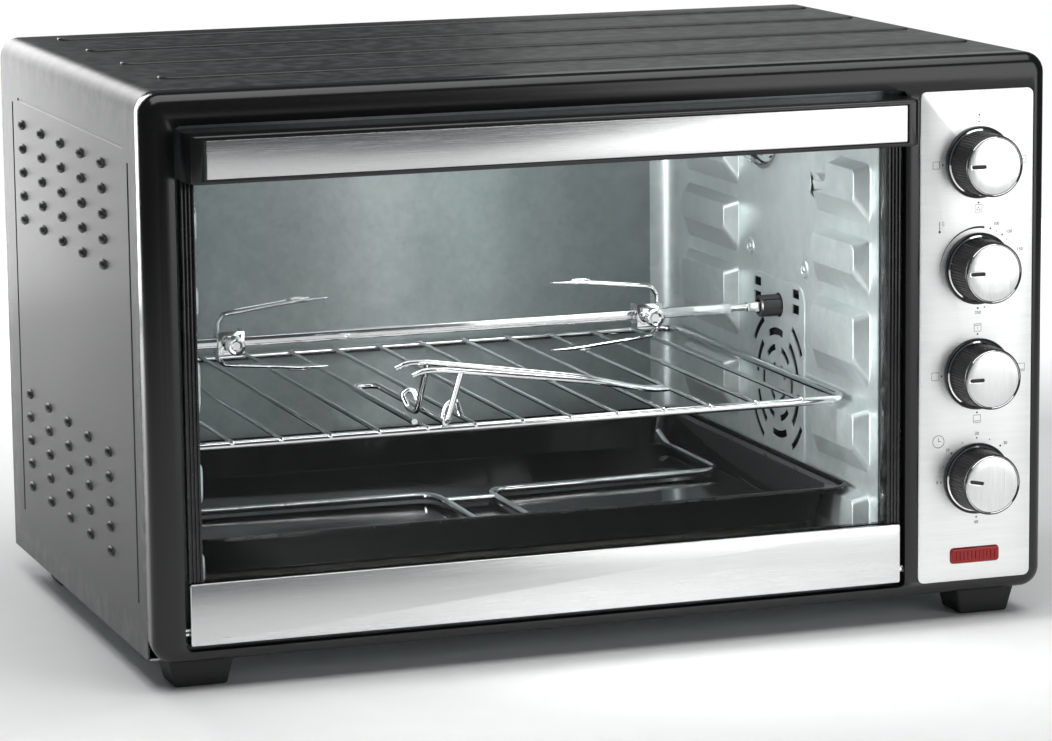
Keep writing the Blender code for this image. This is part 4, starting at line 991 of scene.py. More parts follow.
def arc_slot(wall_x, radius, start, sweep, width):
    points = []
    for step in range(9):
        angle = math.radians(start + sweep * step / 8)
        points.append((wall_x, FAN.y + radius * math.cos(angle), FAN.z + radius * math.sin(angle)))
    return wire("arc_slot", points, width / 2, bend=0.5 * MM, ring=3)


def heater_bores(wall_x):
    return [bore(wall_x, (low + high) / 2, (high.z - low.z) / 2 + 0.5 * MM) for low, high in HEATERS]


carve(wall_left, join("bores", heater_bores(CAVITY_LEFT)))
holes = heater_bores(CAVITY_RIGHT)
holes.append(bore(CAVITY_RIGHT, LAMP, 19 * MM))
carve(wall_right, join("wall_holes", holes))
print("holes in the right wall:", len(holes))

# %% [markdown]
# The fan and the spit's drive sit behind a plate of their own, laid over the wall's window. Its
# slots are arcs of round wire carved out of it, so their ends are round.

# %% Cut the fan plate
FAN_FACE = CAVITY_RIGHT - 0.7 * MM
fan_plate = block("fan_plate", (FAN_FACE, 125.6 * MM, 30.1 * MM),
                  (CAVITY_RIGHT - 0.02 * MM, 210.9 * MM, 167.3 * MM))
round_along(fan_plate, "x", 11.5 * MM, 6)
round_edges(fan_plate, lambda a, b: max(a.x, b.x) < FAN_FACE + 0.3 * MM, 0.6 * MM, 3)
slots = [bore(CAVITY_RIGHT, SPIT, 7.6 * MM)]
# each ring of slots: its radius, their number, where the first starts, how far one sweeps, its width
for ring_radius, count, first, sweep, width in ((43, 4, 31, 28, 4.4), (32, 6, 64, 40, 4.8),
                                                (22, 6, 44, 36, 4.2), (11.5, 4, 23, 50, 3.8)):
    for index in range(count):
        start = first + index * 360 / count
        slots.append(arc_slot(CAVITY_RIGHT, ring_radius * MM, start, sweep, width * MM))
for depth in (198.7, 138.7):
    for height in (161.0, 151.5):
        slot = block("wire_slot", (CAVITY_RIGHT - PAST, (depth - 5) * MM, (height - 2.9) * MM),
                     (CAVITY_RIGHT + PAST, (depth + 5) * MM, (height + 2.9) * MM))
        slots.append(slot)
carve(fan_plate, *slots)
settle(fan_plate, 35)
dress(fan_plate, zinc, "oven_body")
print("slots in the fan plate:", len(slots), "faces:", len(fan_plate.data.polygons))

# %% [markdown]
# Two screws hold that plate above its upper corners. Each sits in a shallow pressed ring. Both are
# turned from a profile, which is how a lathe or a round press tool shapes them.

# %% Set the screws and dimples
screws = []
for depth, height in ((211.7, 181.0), (126.6, 178.0)):
    ring = profile(CAVITY_RIGHT, [(6.0, 0.2), (5.2, -0.8), (4.0, -0.9), (3.2, 0.1), (0, 0.2)])
    head = profile(CAVITY_RIGHT, [(0, -1.6), (1.4, -1.5), (2.2, -0.8), (2.3, 0.2), (0, 0.2)])
    screws.append(turned("dimple", ring, (0, depth * MM, height * MM), "x", 24))
    screws.append(turned("screw", head, (0, depth * MM, height * MM), "x", 20))
wall_right = join("cavity_side_right", [wall_right] + screws)
for wall, node_name in ((wall_left, "cavity_wall_left"), (wall_right, "cavity_wall_right")):
    settle(wall, 35)
    dress(wall, zinc, "oven_body", node_name)
    print(wall.name, "faces:", len(wall.data.polygons))

# %% [markdown]
# ### Roof, back and floor of the cavity
# One more sheet makes the ceiling, the back and the floor. A block loses its front and its two
# sides, its bends are rounded, and it gets the sheet's thickness.

# %% Fold the liner
INSIDE = 0.4 * MM
liner = block("cavity_back_sheet", (CAVITY_LEFT + INSIDE, CAVITY_MOUTH, CAVITY_FLOOR),
              (CAVITY_RIGHT - INSIDE, CAVITY_BACK, CAVITY_TOP))
open_faces(liner, lambda centre, normal: normal.y < -0.9 or abs(normal.x) > 0.9)
score(liner, "y", [BEND_START / MM - 6, BEND_START / MM])
round_edges(liner, lambda a, b: along_axis(a, b, "x") and min(a.y, b.y) > CAVITY_BACK - 0.1 * MM,
            15 * MM, 8)
edit(liner)
bpy.ops.mesh.normals_make_consistent(inside=True)
settle(liner, 35)
apply_modifier(liner, "SOLIDIFY", thickness=SHEET_WALL, offset=-1)
dress(liner, zinc, "oven_body", "cavity_liner")
print("liner faces:", len(liner.data.polygons))

# %% [markdown]
# ### Screws on the flange
# Three screws hold the cavity to the moulding on each side of the mouth.

# %% Drive the flange screws
def screw_head(name, x, depth, height, radius):
    """A round head with a cross: a turned dome with two thin bars carved out."""
    r = radius / MM
    rows = profile(depth, [(0, -1.6), (r * 0.6, -1.4), (r, -0.6), (r, 0), (0, 0)])
    head = turned(name, rows, (x, 0, height), "y", 24)
    long, thin = radius * 0.65, 0.25 * MM
    for wide, tall in ((long, thin), (thin, long)):
        carve(head, block("cross", (x - wide, depth - PAST, height - tall),
                          (x + wide, depth - 0.9 * MM, height + tall)))
    return settle(head, 35)


flange_front = place_of("cavity_flange")[0].y
heads = []
for x in (CAVITY_RIGHT + 4.5 * MM, CAVITY_LEFT - 4.5 * MM):
    for height in (223, 143, 95):
        heads.append(screw_head("head", x, flange_front, height * MM, 1.9 * MM))
flange_screws = join("flange_screws", heads)
dress(flange_screws, chrome, "oven_body")
print("flange screws:", len(heads))

# %% [markdown]
# ## The control panel
# The panel is a brushed steel plate with round corners, let into its seat. The red lens shows
# through a window of its own, and four shafts pass through round holes.

# %% Cut the panel
LENS_LOW, LENS_HIGH = place_of("indicator_lens")
KNOBS = {name: middle_of("knob_" + name) for name in ("function", "temperature", "heater", "timer")}
KNOB_FACE, SHAFT_END = place_of("knob_function")[0].y, place_of("knob_function")[1].y
panel = plate("control_panel", PLATE_LOW, PLATE_HIGH, 4 * MM, 0.5 * MM, (6, 3))
lens_hole = round_along(around("lens_hole", LENS_LOW, LENS_HIGH, AHEAD, -AHEAD), "y", 2.3 * MM, 5)
shafts = [drum("hole", (k.x, 0, k.z), 4.0 * MM, 40 * MM) for k in KNOBS.values()]
carve(panel, lens_hole, *shafts)
settle(panel)
dress(panel, panel_steel, "oven_body", "control_plate")
print("panel holes:", 1 + len(shafts))

# %% [markdown]
# ### The red lens
# The lens is a rounded block with a soft rim, and fine upright ribs that spread the light.

# %% Mould the lens
lens = plate("red_lens", LENS_LOW, LENS_HIGH, 2.0 * MM, 0.9 * MM, (5, 4))
RIBS, MARGIN = 11, 3.2 * MM
for step in range(RIBS):
    x = LENS_LOW.x + MARGIN + step * (LENS_HIGH.x - LENS_LOW.x - 2 * MARGIN) / (RIBS - 1)
    carve(lens, block("rib_gap", (x - 0.3 * MM, LENS_LOW.y - 2 * MM, LENS_LOW.z + 2 * MM),
                      (x + 0.3 * MM, LENS_LOW.y + 0.4 * MM, LENS_HIGH.z - 2 * MM)))
settle(lens)
dress(lens, red_lens, "oven_body", "indicator_lens")
print("lens ribs:", RIBS)

# %% [markdown]
# ### Knobs
# A knob is turned from a profile. Every second face round its side is then pushed in, which gives
# sixty fine ribs. A bright ring lies at its foot and another round its cap. One set is made for
# the top knob, and the others are copies.

# %% Turn the knob parts
FOOT = PLATE_LOW.y - 0.6 * MM
TOP_KNOB = KNOBS["function"]
MIDDLE = (TOP_KNOB.x, 0, TOP_KNOB.z)
SIDES = 120
foot = (FOOT - KNOB_FACE) / MM
end = (SHAFT_END - KNOB_FACE) / MM
grip = turned("grip", profile(KNOB_FACE, [
    (0, end), (3.0, end), (3.0, foot), (21.0, foot), (21.0, foot - 0.9), (20.6, foot - 1.3),
    (19.9, foot - 1.2), (19.6, foot - 0.3), (18.5, foot - 0.3), (18.4, foot - 1.8), (18.0, 1.5),
    (17.8, 0.5), (17.4, 0.05), (17.2, 0.1), (17.1, 0.9), (0, 0.9)]), MIDDLE, "y", SIDES, 0)
knurl(grip, lambda centre, normal: abs(normal.y) < 0.15 and
      KNOB_FACE + 1.5 * MM < centre.y < FOOT - 1.8 * MM and
      in_step(centre.x - TOP_KNOB.x, centre.z - TOP_KNOB.z, 360 / SIDES), 0.16 * MM, 0.45 * MM)
foot_ring = turned("foot_ring", profile(KNOB_FACE, [
    (18.6, foot - 0.4), (19.5, foot - 0.4), (19.5, foot - 1.0), (18.7, foot - 1.5),
    (18.6, foot - 0.4)]), MIDDLE)
cap_ring = turned("cap_ring", profile(KNOB_FACE, [
    (16.6, 0.85), (16.6, 0.1), (16.8, -0.1), (17.0, 0.1), (17.0, 0.85), (16.6, 0.85)]),
    MIDDLE, sides=64)
cap = turned("cap", profile(KNOB_FACE, [
    (0, 0.8), (16.35, 0.8), (16.35, 0.3), (16.1, 0.0), (15.6, -0.12), (10.5, -0.32), (5, -0.42),
    (0, -0.45)]), MIDDLE, sides=64, smooth=30)
print("ribs:", SIDES // 2)

# %% Cut the pointer and copy the knobs
def pointer_bar(front, back):
    bar = block("pointer", (TOP_KNOB.x - 14.6 * MM, KNOB_FACE + front * MM, TOP_KNOB.z - 1.1 * MM),
                (TOP_KNOB.x - 5.7 * MM, KNOB_FACE + back * MM, TOP_KNOB.z + 1.1 * MM))
    return round_along(bar, "y", 1.05 * MM, 6)


carve(cap, pointer_bar(-2, 0.6))
soften(cap, 0.15 * MM, 2, 60)
pointer = soften(pointer_bar(0.1, 0.65), 0.1 * MM, 2, 60)
# each part of a knob, its finish and its slot
KNOB_PARTS = ((grip, knob_plastic, "knob_black"), (foot_ring, chrome, "knob_cap_metal"),
              (cap_ring, chrome, "knob_cap_metal"), (cap, cap_steel, "knob_cap_metal"),
              (pointer, ink, "knob_black"))
STANDS_FOR = {"grip": "knob_", "cap": "knob_cap_"}
TIMER_TURN = math.radians(-11)
for name, place in KNOBS.items():
    for part, material, slot in KNOB_PARTS:
        kind = part.name
        piece = copy(part, "knob_" + kind + "_" + name, (0, 0, place.z - TOP_KNOB.z))
        if name == "timer" and kind in ("cap", "pointer"):
            edit(piece)
            bpy.ops.transform.rotate(value=TIMER_TURN, orient_axis="Y", orient_type="GLOBAL",
                                     center_override=at(place.x, 0, place.z))
            settle(piece, 0)
        node = STANDS_FOR[kind] + name if kind in STANDS_FOR else None
        dress(piece, material, "knob_" + name + "_body", node)
for part, material, slot in KNOB_PARTS:
    bpy.data.objects.remove(part)
print("knobs:", len(KNOBS))

# %% [markdown]
# ### Marks round the knobs
# The marks are printed ink. Dots, boxes, arcs and numbers are made as very thin shapes on the face
# of the panel, so they stay sharp and need no picture. They are plain, general signs.

# %% Helpers to print
PRINT = PLATE_LOW.y
marks = []


def dots(knob, rows):
    """Round spots, each with its place from the knob's middle and its radius, in millimetres."""
    for x, z, radius in rows:
        spot = profile(PRINT, [(0, -0.06), (radius * 0.85, -0.06), (radius, 0), (0, 0)])
        marks.append(turned("dot", spot, (knob.x + x * MM, 0, knob.z + z * MM), "y", 16))


def line(knob, points, radius=0.12, closed=False):
    spots = [(knob.x + x * MM, PRINT, knob.z + z * MM) for x, z in points]
    marks.append(wire("line", spots, radius * MM, 0.3 * MM, closed, 2))


def box_sign(knob, x, z, half=2.1, bar=0):
    line(knob, [(x - half, z - half), (x + half, z - half), (x + half, z + half),
                (x - half, z + half)], closed=True)
    if bar:
        line(knob, [(x - half * 0.8, z + bar * 1.3), (x + half * 0.8, z + bar * 1.3)], 0.16)


def number(knob, label, x, z, size=2.6):
    unselect()
    bpy.ops.object.text_add(location=at(knob.x + x * MM, PRINT - 0.05 * MM, knob.z + z * MM),
                            rotation=(math.pi / 2, 0, 0))
    text = named("number")
    text.data.body = label
    text.data.size = size * MM
    text.data.align_x = "CENTER"
    text.data.align_y = "CENTER"
    text.data.extrude = 0.05 * MM
    bpy.ops.object.convert(target="MESH")
    marks.append(settle(text, 0))


def arc(knob, reach, start, end, thin, thick):
    """An arc that grows from thin to thick, with angles from the right, anticlockwise."""
    shares = [step / 32 for step in range(33)]
    points = []
    for share in shares:
        angle = math.radians(start + (end - start) * share)
        points.append(at(knob.x + reach * MM * math.cos(angle), PRINT,
                         knob.z + reach * MM * math.sin(angle)))
    widths = [thin + (thick - thin) * share for share in shares]
    curve = swept("arc", points, 1 * MM, 2, widths)
    edit(curve)
    bpy.ops.transform.resize(value=(1, 0.12, 1), center_override=at(knob.x, PRINT, knob.z))
    marks.append(outwards(curve))


# %% Print the signs of the two upper knobs
knob = KNOBS["function"]
dots(knob, ((0, 27.6, 0.62), (0, 23.6, 0.5), (-22.9, -0.6, 0.55), (28.0, 0.5, 0.4),
            (0, -23.6, 0.6), (0, -26.4, 0.4), (-0.9, -27.9, 0.4), (0.9, -27.9, 0.4)))
for x, z, half in ((-27.0, -0.6, 2.1), (28.0, 0.5, 2.1), (0, -27.0, 2.2)):
    box_sign(knob, x, z, half)
knob = KNOBS["temperature"]
line(knob, [(-24.6, 23.0), (-24.6, 28.6)], 0.22)
for z in (26.2, 27.2, 28.2):
    line(knob, [(-23.2, z), (-21.6, z)])
arc(knob, 24.2, 182, 81, 0.05, 0.62)
dots(knob, ((-24.6, 22.6, 0.75), (7.6, 23.0, 0.6), (15.2, 19.0, 0.6), (11.6, 21.2, 0.35),
            (18.2, 16.0, 0.35), (0, -23.4, 0.6), (4.3, -23.0, 0.45)))
for label, x, z in (("100", 11.4, 25.6), ("120", 19.6, 20.6), ("150", 26.6, 9.8), ("250", 0, -26.0)):
    number(knob, label, x, z)
print("marks so far:", len(marks))

# %% Print the signs of the two lower knobs
knob = KNOBS["heater"]
dots(knob, ((0, 23.4, 0.55), (0, 27.0, 0.3), (-22.8, 0, 0.55), (0, -23.0, 0.55)))
for x, z, half, bar in ((0, 27.3, 2.2, 1), (-26.8, 0, 2.3, 0), (28.0, 2.0, 2.3, -1),
                        (0, -26.8, 2.3, -1)):
    box_sign(knob, x, z, half, bar)
knob = KNOBS["timer"]
ring = [(-24.6 + 3.7 * math.cos(math.radians(30 * i)), 23.4 + 3.7 * math.sin(math.radians(30 * i)))
        for i in range(12)]
line(knob, ring, 0.17, closed=True)
line(knob, [(-24.6, 25.4), (-24.6, 23.4), (-22.9, 23.4)], 0.17)
dots(knob, ((0, 24.0, 0.5), (-16.2, 16.0, 0.6), (-9.0, 21.6, 0.35), (-21.4, 8.2, 0.35),
            (-22.8, -1.0, 0.55), (8.2, 22.4, 0.35), (15.2, 18.2, 0.6), (0, -23.2, 0.55)))
for label, x, z in (("20", 0, 26.6), ("10", -18.8, 18.0), ("0", -25.2, -1.0), ("30", 18.4, 19.6),
                    ("60", 0, -26.2)):
    number(knob, label, x, z)
marks = join("panel_marks", marks)
dress(marks, ink, "oven_body")
print("faces in the marks:", len(marks.data.polygons))

# %% [markdown]
# ## The spit
# The spit is a square bar with a round neck before its driving end, so that it can be lifted out of
# the socket. The socket is a turned cup with notches round it.

# %% Shape the spit and its socket
spit_low, spit_high = place_of("spit_rod")
HALF = (spit_high.z - spit_low.z) / 2
MOUTH = place_of("spit_socket")[0].x
NECK_START, NECK_END = MOUTH - 19 * MM, MOUTH - 8 * MM
cradle_end = place_of("spit_bracket")[1].x


def square_bar(start, end):
    return soften(block("bar", (start, SPIT.y - HALF, SPIT.z - HALF),
                        (end, SPIT.y + HALF, SPIT.z + HALF)), 0.7 * MM, 3)


def round_bar(start, end, radius, chamfer):
    return turned("bar", [(0, start), (radius - chamfer, start), (radius, start + chamfer),
                          (radius, end), (0, end)], (0, SPIT.y, SPIT.z), "x", 32)


spit_bar = join("spit_bar", [
    square_bar(cradle_end + 1.5 * MM, NECK_START),
    square_bar(NECK_END, spit_high.x),
    round_bar(spit_low.x, cradle_end + 3 * MM, 2.5 * MM, 0.8 * MM),
    round_bar(NECK_START - 2 * MM, NECK_END + 2 * MM, 2.2 * MM, 0.1 * MM)])
dress(spit_bar, chrome, "spit", "spit_rod")
socket_end = place_of("spit_socket")[1].x
tail = (socket_end - MOUTH) / MM
cup = turned("spit_drive_cup", profile(MOUTH, [
    (4.4, 0), (6.0, 0), (6.8, 0.8), (6.8, 12.5), (6.0, 13), (6.0, tail - 11), (4.0, tail - 10.5),
    (4.0, tail), (0, tail), (0, 12), (4.4, 12), (4.4, 0)]), (0, SPIT.y, SPIT.z), "x", 32, 0)
knurl(cup, lambda centre, normal: abs(normal.x) < 0.1 and centre.x < MOUTH + 12 * MM and
      (centre.yz - SPIT.yz).length > 6.4 * MM and
      in_step(centre.y - SPIT.y, centre.z - SPIT.z, 11.25, 4), 0.15 * MM, 0.9 * MM)
dress(cup, dark_steel, "spit", "spit_socket")
print("spit length in mm:", round((spit_high.x - spit_low.x) / MM))

# %% [markdown]
# ### Forks
# A fork is one pressed strip. Its two prongs rise from a folded hub, run inwards along the meat and
# end in flat points. Each prong is a curve whose points carry a width. It is widened to a flat
# strip, and a round bar carved along it leaves the stiffening channel. The right fork is a mirrored
# copy.

# %% Helper for a prong
HUB = Vector((8, 6, 7)) * MM  # half of the hub's width, depth and height
STRIP = 1.4 * MM
FORK_MIDDLE = {"left": place_of("fork_left")[0].x + HUB.x, "right": place_of("fork_right")[1].x - HUB.x}
# each row: x from the hub, height above the spit, and the strip's width
PRONG = ((-6.6, 3.0, 1.0), (-7.0, 11.5, 1.0), (-3.5, 16.6, 1.0), (4.0, 17.6, 1.0), (18.0, 19.2, 1.0),
         (32.0, 20.8, 0.95), (41.0, 21.9, 1.15), (46.0, 22.2, 1.2), (53.0, 22.6, 0.8), (62.0, 22.8, 0.12))


def prong(up, squeeze):
    """One prong, upwards or downwards. The lower one is squeezed a little nearer to the spit."""
    middle = FORK_MIDDLE["left"]
    points = [at(middle + x * MM, SPIT.y, SPIT.z + up * z * squeeze * MM) for x, z, width in PRONG]
    fine, widths = [], []
    for index in range(len(points) - 1):
        for step in range(4):
            share = step / 4
            fine.append(points[index].lerp(points[index + 1], share))
            widths.append(PRONG[index][2] * (1 - share) + PRONG[index + 1][2] * share)
    fine.append(points[-1])
    widths.append(PRONG[-1][2])
    blade = swept("prong", fine, 1.5 * MM, 4, widths)
    edit(blade)
    bpy.ops.transform.resize(value=(1, 2.1, 1), center_override=at(0, SPIT.y, SPIT.z))
    outwards(blade)
    apply_modifier(blade, "SMOOTH", factor=0.5, iterations=3)
    channel = wire("channel", [(middle + x * MM, SPIT.y, SPIT.z + up * (z * squeeze + 2.0) * MM)
                               for x, z, width in PRONG[3:7]], 1.7 * MM, 4 * MM)
    carve(blade, channel)
    loop = []
    for step in range(16):
        angle = math.tau * step / 16
        loop.append((middle + (43 + 6.5 * math.cos(angle)) * MM, SPIT.y + 2.0 * MM * math.sin(angle),
                     SPIT.z + up * (21.9 * squeeze + 1.5) * MM))
    return [blade, wire("pressed_loop", loop, 0.65 * MM, 1 * MM, True)]


# %% Build the forks
def hub():
    """Two end plates with square holes, joined by a front plate that takes the screw."""
    x, y, z = FORK_MIDDLE["left"], SPIT.y, SPIT.z
    body = block("hub", Vector((x, y, z)) - HUB, Vector((x, y, z)) + HUB)
    inside = block("inside", (x - HUB.x + STRIP, y - HUB.y + STRIP, z - PAST),
                   (x + HUB.x - STRIP, y + 2 * PAST, z + PAST))
    seat = HALF + FIT
    passage = block("passage", (x - 2 * PAST, y - seat, z - seat), (x + 2 * PAST, y + seat, z + seat))
    carve(body, inside, passage, drum("hole", (x, y - HUB.y, z), 2.0 * MM, 8 * MM))
    return soften(body, 0.35 * MM, 2, 50)


fork = join("fork_sheet_left", [hub()] + prong(1, 1.0) + prong(-1, 0.80))
settle(fork, 40)
mirror_fork = copy(fork, "fork_sheet_right")
edit(mirror_fork)
bpy.ops.transform.resize(value=(-1, 1, 1), center_override=at(FORK_MIDDLE["left"], SPIT.y, SPIT.z))
bpy.ops.transform.translate(value=(FORK_MIDDLE["right"] - FORK_MIDDLE["left"], 0, 0))
bpy.ops.mesh.normals_make_consistent(inside=False)
settle(mirror_fork, 40)
for piece, side in ((fork, "left"), (mirror_fork, "right")):
    dress(piece, chrome, "fork_" + side + "_body", "fork_" + side)
print("fork faces:", len(fork.data.polygons))

# %% [markdown]
# ### Thumb screws
# Each fork is held by a thumb screw with a knurled, dished head.

# %% Turn the thumb screws
for side in ("left", "right"):
    low, high = place_of("thumb_screw_" + side)
    x, front = FORK_MIDDLE[side], low.y
    end = (high.y - front) / MM
    screw = turned("clamp_screw_" + side, profile(front, [
        (0, 1.6), (2.4, 1.6), (3.4, 0.3), (4.6, 0), (5.5, 0.8), (5.5, 5.8), (4.4, 6.6), (2.6, 7.2),
        (1.6, 9), (1.6, end), (0, end)]), (x, 0, SPIT.z), "y", 48, 0)
    knurl(screw, lambda centre, normal: abs(normal.y) < 0.1 and centre.y < front + 6 * MM and
          math.hypot(centre.x - x, centre.z - SPIT.z) > 5.2 * MM and
          in_step(centre.x - x, centre.z - SPIT.z, 7.5), 0.08 * MM, 0.4 * MM)
    dress(screw, chrome, "screw_" + side, "thumb_screw_" + side)
print("thumb screws: 2")

# %% [markdown]
# ## The rack
# A thick wire makes the frame, and thinner rods lie across it. Every rod ends in a small
# round tip on the front and rear wire. One rod is made with its two tips, then copied.

# %% Bend the rack
rack_low, rack_high = place_of("wire_rack")
RAIL = 2.5 * MM
ROD = 1.4 * MM
RACK_LEVEL = rack_low.z + RAIL
left, right = rack_low.x + RAIL, rack_high.x - RAIL
front, back = rack_low.y + RAIL, rack_high.y - RAIL
corners = [(left, front, RACK_LEVEL), (right, front, RACK_LEVEL), (right, back, RACK_LEVEL),
           (left, back, RACK_LEVEL)]
rack_parts = [wire("rack", corners, RAIL, 14 * MM, True, 5)]
RODS = 13
pitch = (right - left) / (RODS + 1)
first = left + pitch
level = RACK_LEVEL + ROD
ends = (front - 1.2 * MM, back + 1.2 * MM)
rod = [wire("rod", [(first, depth, level) for depth in ends], ROD, ring=3)]
for depth in ends:
    tip = profile(depth, [(0, -1.8), (1.2, -1.4), (1.8, 0), (1.2, 1.4), (0, 1.8)])
    rod.append(turned("tip", tip, (first, 0, level), "y", 16))
rod = join("rod", rod)
rack_parts += [copy(rod, "rod", (pitch * index, 0, 0)) for index in range(RODS)]
bpy.data.objects.remove(rod)
rack = settle(join("rack_grid", rack_parts), 40)
dress(rack, chrome, "rack", "wire_rack")
print("rods:", RODS, "at", round(pitch / MM, 2), "mm")

# %% [markdown]
# ### The tongs
# The wire handle that lifts the hot tray lies on the rack: two long grips that meet at a point, two
# legs and a narrow loop, with a small hook at the foot of each leg.

# %% Bend the tongs
WIRE = 1.8 * MM
THICKER = 1.04  # the loop on which they lie is a little thicker than the rest
GRIP_TOP = 33.5
LIE = (place_of("rack_tongs")[0].z + WIRE * THICKER) / MM


def lying(rows, level, radius, bend=8):
    points = [(x * MM, y * MM, (level + z) * MM) for x, y, z in rows]
    return wire("wire", points, radius, bend * MM, ring=4)


tongs = join("tray_tongs", [
    lying([(-108, 66, 30.5), (-102, 63, GRIP_TOP), (-92, 63, GRIP_TOP), (10, 80, 15), (52, 90, 3.6),
           (66, 96, 2.2)], LIE, WIRE, 10),
    lying([(-106, 40, 30.5), (-100, 36, GRIP_TOP), (-90, 36, 33.0), (14, 64, 14.5), (56, 84, 3.6),
           (68, 92, 2.2)], LIE, WIRE, 10),
    lying([(-100, 58, 0), (-100, 181, 0), (-84, 181, 0), (-84, 50, 0)], LIE, WIRE * THICKER, 7),
    lying([(-90, 63.5, 32.5), (-89, 88, 0), (-91, 97, 0.5), (-94, 101, 9), (-88, 99, 12),
           (-86, 92, 3)], LIE, WIRE, 3),
    lying([(-78, 38.5, 31.0), (-83, 50, 0), (-84, 56, 1), (-83, 52, 10), (-78, 50, 13),
           (-76, 46, 4)], LIE, WIRE, 3)])
settle(tongs, 40)
dress(tongs, chrome, "rack", "rack_tongs")
print("tongs stand mm above the rack:", GRIP_TOP)

# %% [markdown]
# ## The baking tray
# The pan starts as a block with round upright edges. Its floor is drawn in, the top is opened, and
# the open edge is extruded outwards for the rim and up for the rolled lip. The folds are rounded and
# the sheet gets its thickness.

# %% Press the tray
tray_low, tray_high = place_of("baking_tray")
middle = (tray_low + tray_high) / 2
RIM = 10 * MM
rim_level = tray_high.z - 2.2 * MM
width, depth = tray_high.x - tray_low.x - 2 * RIM, tray_high.y - tray_low.y - 2 * RIM


def resize_by(wide, deep, change):
    """Make the picked part of the pan wider and deeper by a length, about the pan's middle."""
    bpy.ops.transform.resize(value=((wide + change) / wide, (deep + change) / deep, 1),
                             center_override=at(*middle))


pan = block("tray_pan", (tray_low.x + RIM, tray_low.y + RIM, tray_low.z),
            (tray_high.x - RIM, tray_high.y - RIM, rim_level))
round_along(pan, "z", 14 * MM, 6)
pick_faces(pan, lambda centre, normal: normal.z < -0.9)
resize_by(width, depth, -10 * MM)
settle(pan, 0)
open_faces(pan, lambda centre, normal: normal.z > 0.9, "ONLY_FACE")
pick_edges(pan, lambda a, b: min(a.z, b.z) > rim_level - 0.1 * MM)
bpy.ops.mesh.extrude_edges_move()
resize_by(width, depth, 2 * RIM)
bpy.ops.mesh.extrude_edges_move(TRANSFORM_OT_translate={"value": (0, 0, 2.0 * MM)})
bpy.ops.mesh.extrude_edges_move()
resize_by(width + 2 * RIM, depth + 2 * RIM, -3.6 * MM)
settle(pan, 0)
soften_folds(pan, 0.9 * MM, 30, 3)
outwards(pan)
settle(pan, 35)
apply_modifier(pan, "SOLIDIFY", thickness=0.6 * MM, offset=0)
dress(pan, enamel, "tray", "baking_tray")
print("tray in mm:", [round(value / MM, 1) for value in tray_high - tray_low])

# %% [markdown]
# ### The spit lifter
# The wire that lifts the hot spit lies in the tray: a round grip, a cross bar, and two arms that
# reach out and turn back into hooks.

# %% Bend the lifter
THICK = 2.2 * MM
FLOOR = (place_of("spit_lifter")[0].z + THICK * THICKER) / MM
ARM_LEFT, ARM_RIGHT, BAR_LEFT, BAR_RIGHT = -205, 149, -41, -8


def lifter_arm(x, reach, inwards):
    return lying([(x, 92, 0), (x, 205, 0), (reach, 209, 0), (reach, 300, 0),
                  (reach + inwards, 312, 7)], FLOOR, THICK, 14)


lifter = join("lifter_wire", [
    lifter_arm(BAR_LEFT, ARM_LEFT, 2), lifter_arm(BAR_RIGHT, ARM_RIGHT, -2),
    lying([(BAR_LEFT, 93, 0), (BAR_LEFT, 74, 0), (BAR_RIGHT, 74, 0), (BAR_RIGHT, 93, 0)],
          FLOOR, THICK * 1.02, 16),
    lying([(BAR_LEFT, 185, 0), (BAR_RIGHT, 185, 0)], FLOOR, THICK * 0.96)])
settle(lifter, 40)
dress(lifter, chrome, "tray", "spit_lifter")
print("lifter reach in mm:", ARM_RIGHT - ARM_LEFT)

# %% [markdown]
# ## The oven lamp
# The lamp sits high on the right wall under a pressed glass dome. The dome is turned with few sides
# and left faceted, as the real one is, and a steel collar holds it.

# %% Turn the lamp dome
lamp_low, lamp_high = place_of("lamp_cover")
reach = CAVITY_RIGHT - lamp_low.x
lamp_radius = (lamp_high.z - lamp_low.z) / 2
rows = ((1.0, 0.0), (1.0, 0.22), (0.93, 0.42), (0.78, 0.70), (0.52, 0.92), (0.2, 1.0), (0, 1.0))
shell = [(lamp_radius * r, CAVITY_RIGHT - 0.4 * MM - (reach - 0.6 * MM) * x) for r, x in rows]
inner = [(max(r - 2.2 * MM, 0), x + 1.8 * MM) for r, x in reversed(shell)]
dome = turned("lamp_dome", shell + inner[1:] + [shell[0]], (0, LAMP.y, LAMP.z), "x", 18, 0)
dress(dome, lamp_glass, "oven_body", "lamp_cover")
rim = lamp_radius / MM
collar = turned("lamp_collar", profile(CAVITY_RIGHT, [
    (rim - 3, -0.2), (rim + 0.4, -0.2), (rim + 2.6, -0.4), (rim + 2.2, -2.0), (rim + 0.4, -2.8),
    (rim + 0.3, -0.2)]), (0, LAMP.y, LAMP.z), "x", 48)
dress(collar, chrome, "oven_body")
print("lamp radius in mm:", round(lamp_radius / MM, 1))

# %% [markdown]
# ## Feet
# The feet are tapered rubber blocks with a screw well. The block's lower face is drawn in for the
# taper, and a turned cutter makes the well.

# %% Mould the feet
for name in ("front_left", "front_right", "rear_left", "rear_right"):
    low, high = place_of("foot_" + name)
    foot_block = block("rubber_foot_" + name, low, high)
    pick_faces(foot_block, lambda centre, normal: normal.z < -0.9)
    bpy.ops.transform.resize(value=(0.80, 0.84, 1), center_override=at(*((low + high) / 2)))
    settle(foot_block, 0)
    soften(foot_block, 1.6 * MM, 3)
    rows = profile(low.z, [(0, -1), (4.5, -1), (3.8, 7), (0, 7)])
    well = turned("well", rows, ((low.x + high.x) / 2, (low.y + high.y) / 2, 0), "z", 24)
    carve(foot_block, well)
    settle(foot_block, 35)
    dress(foot_block, rubber, "oven_body", "foot_" + name)
print("feet: 4")


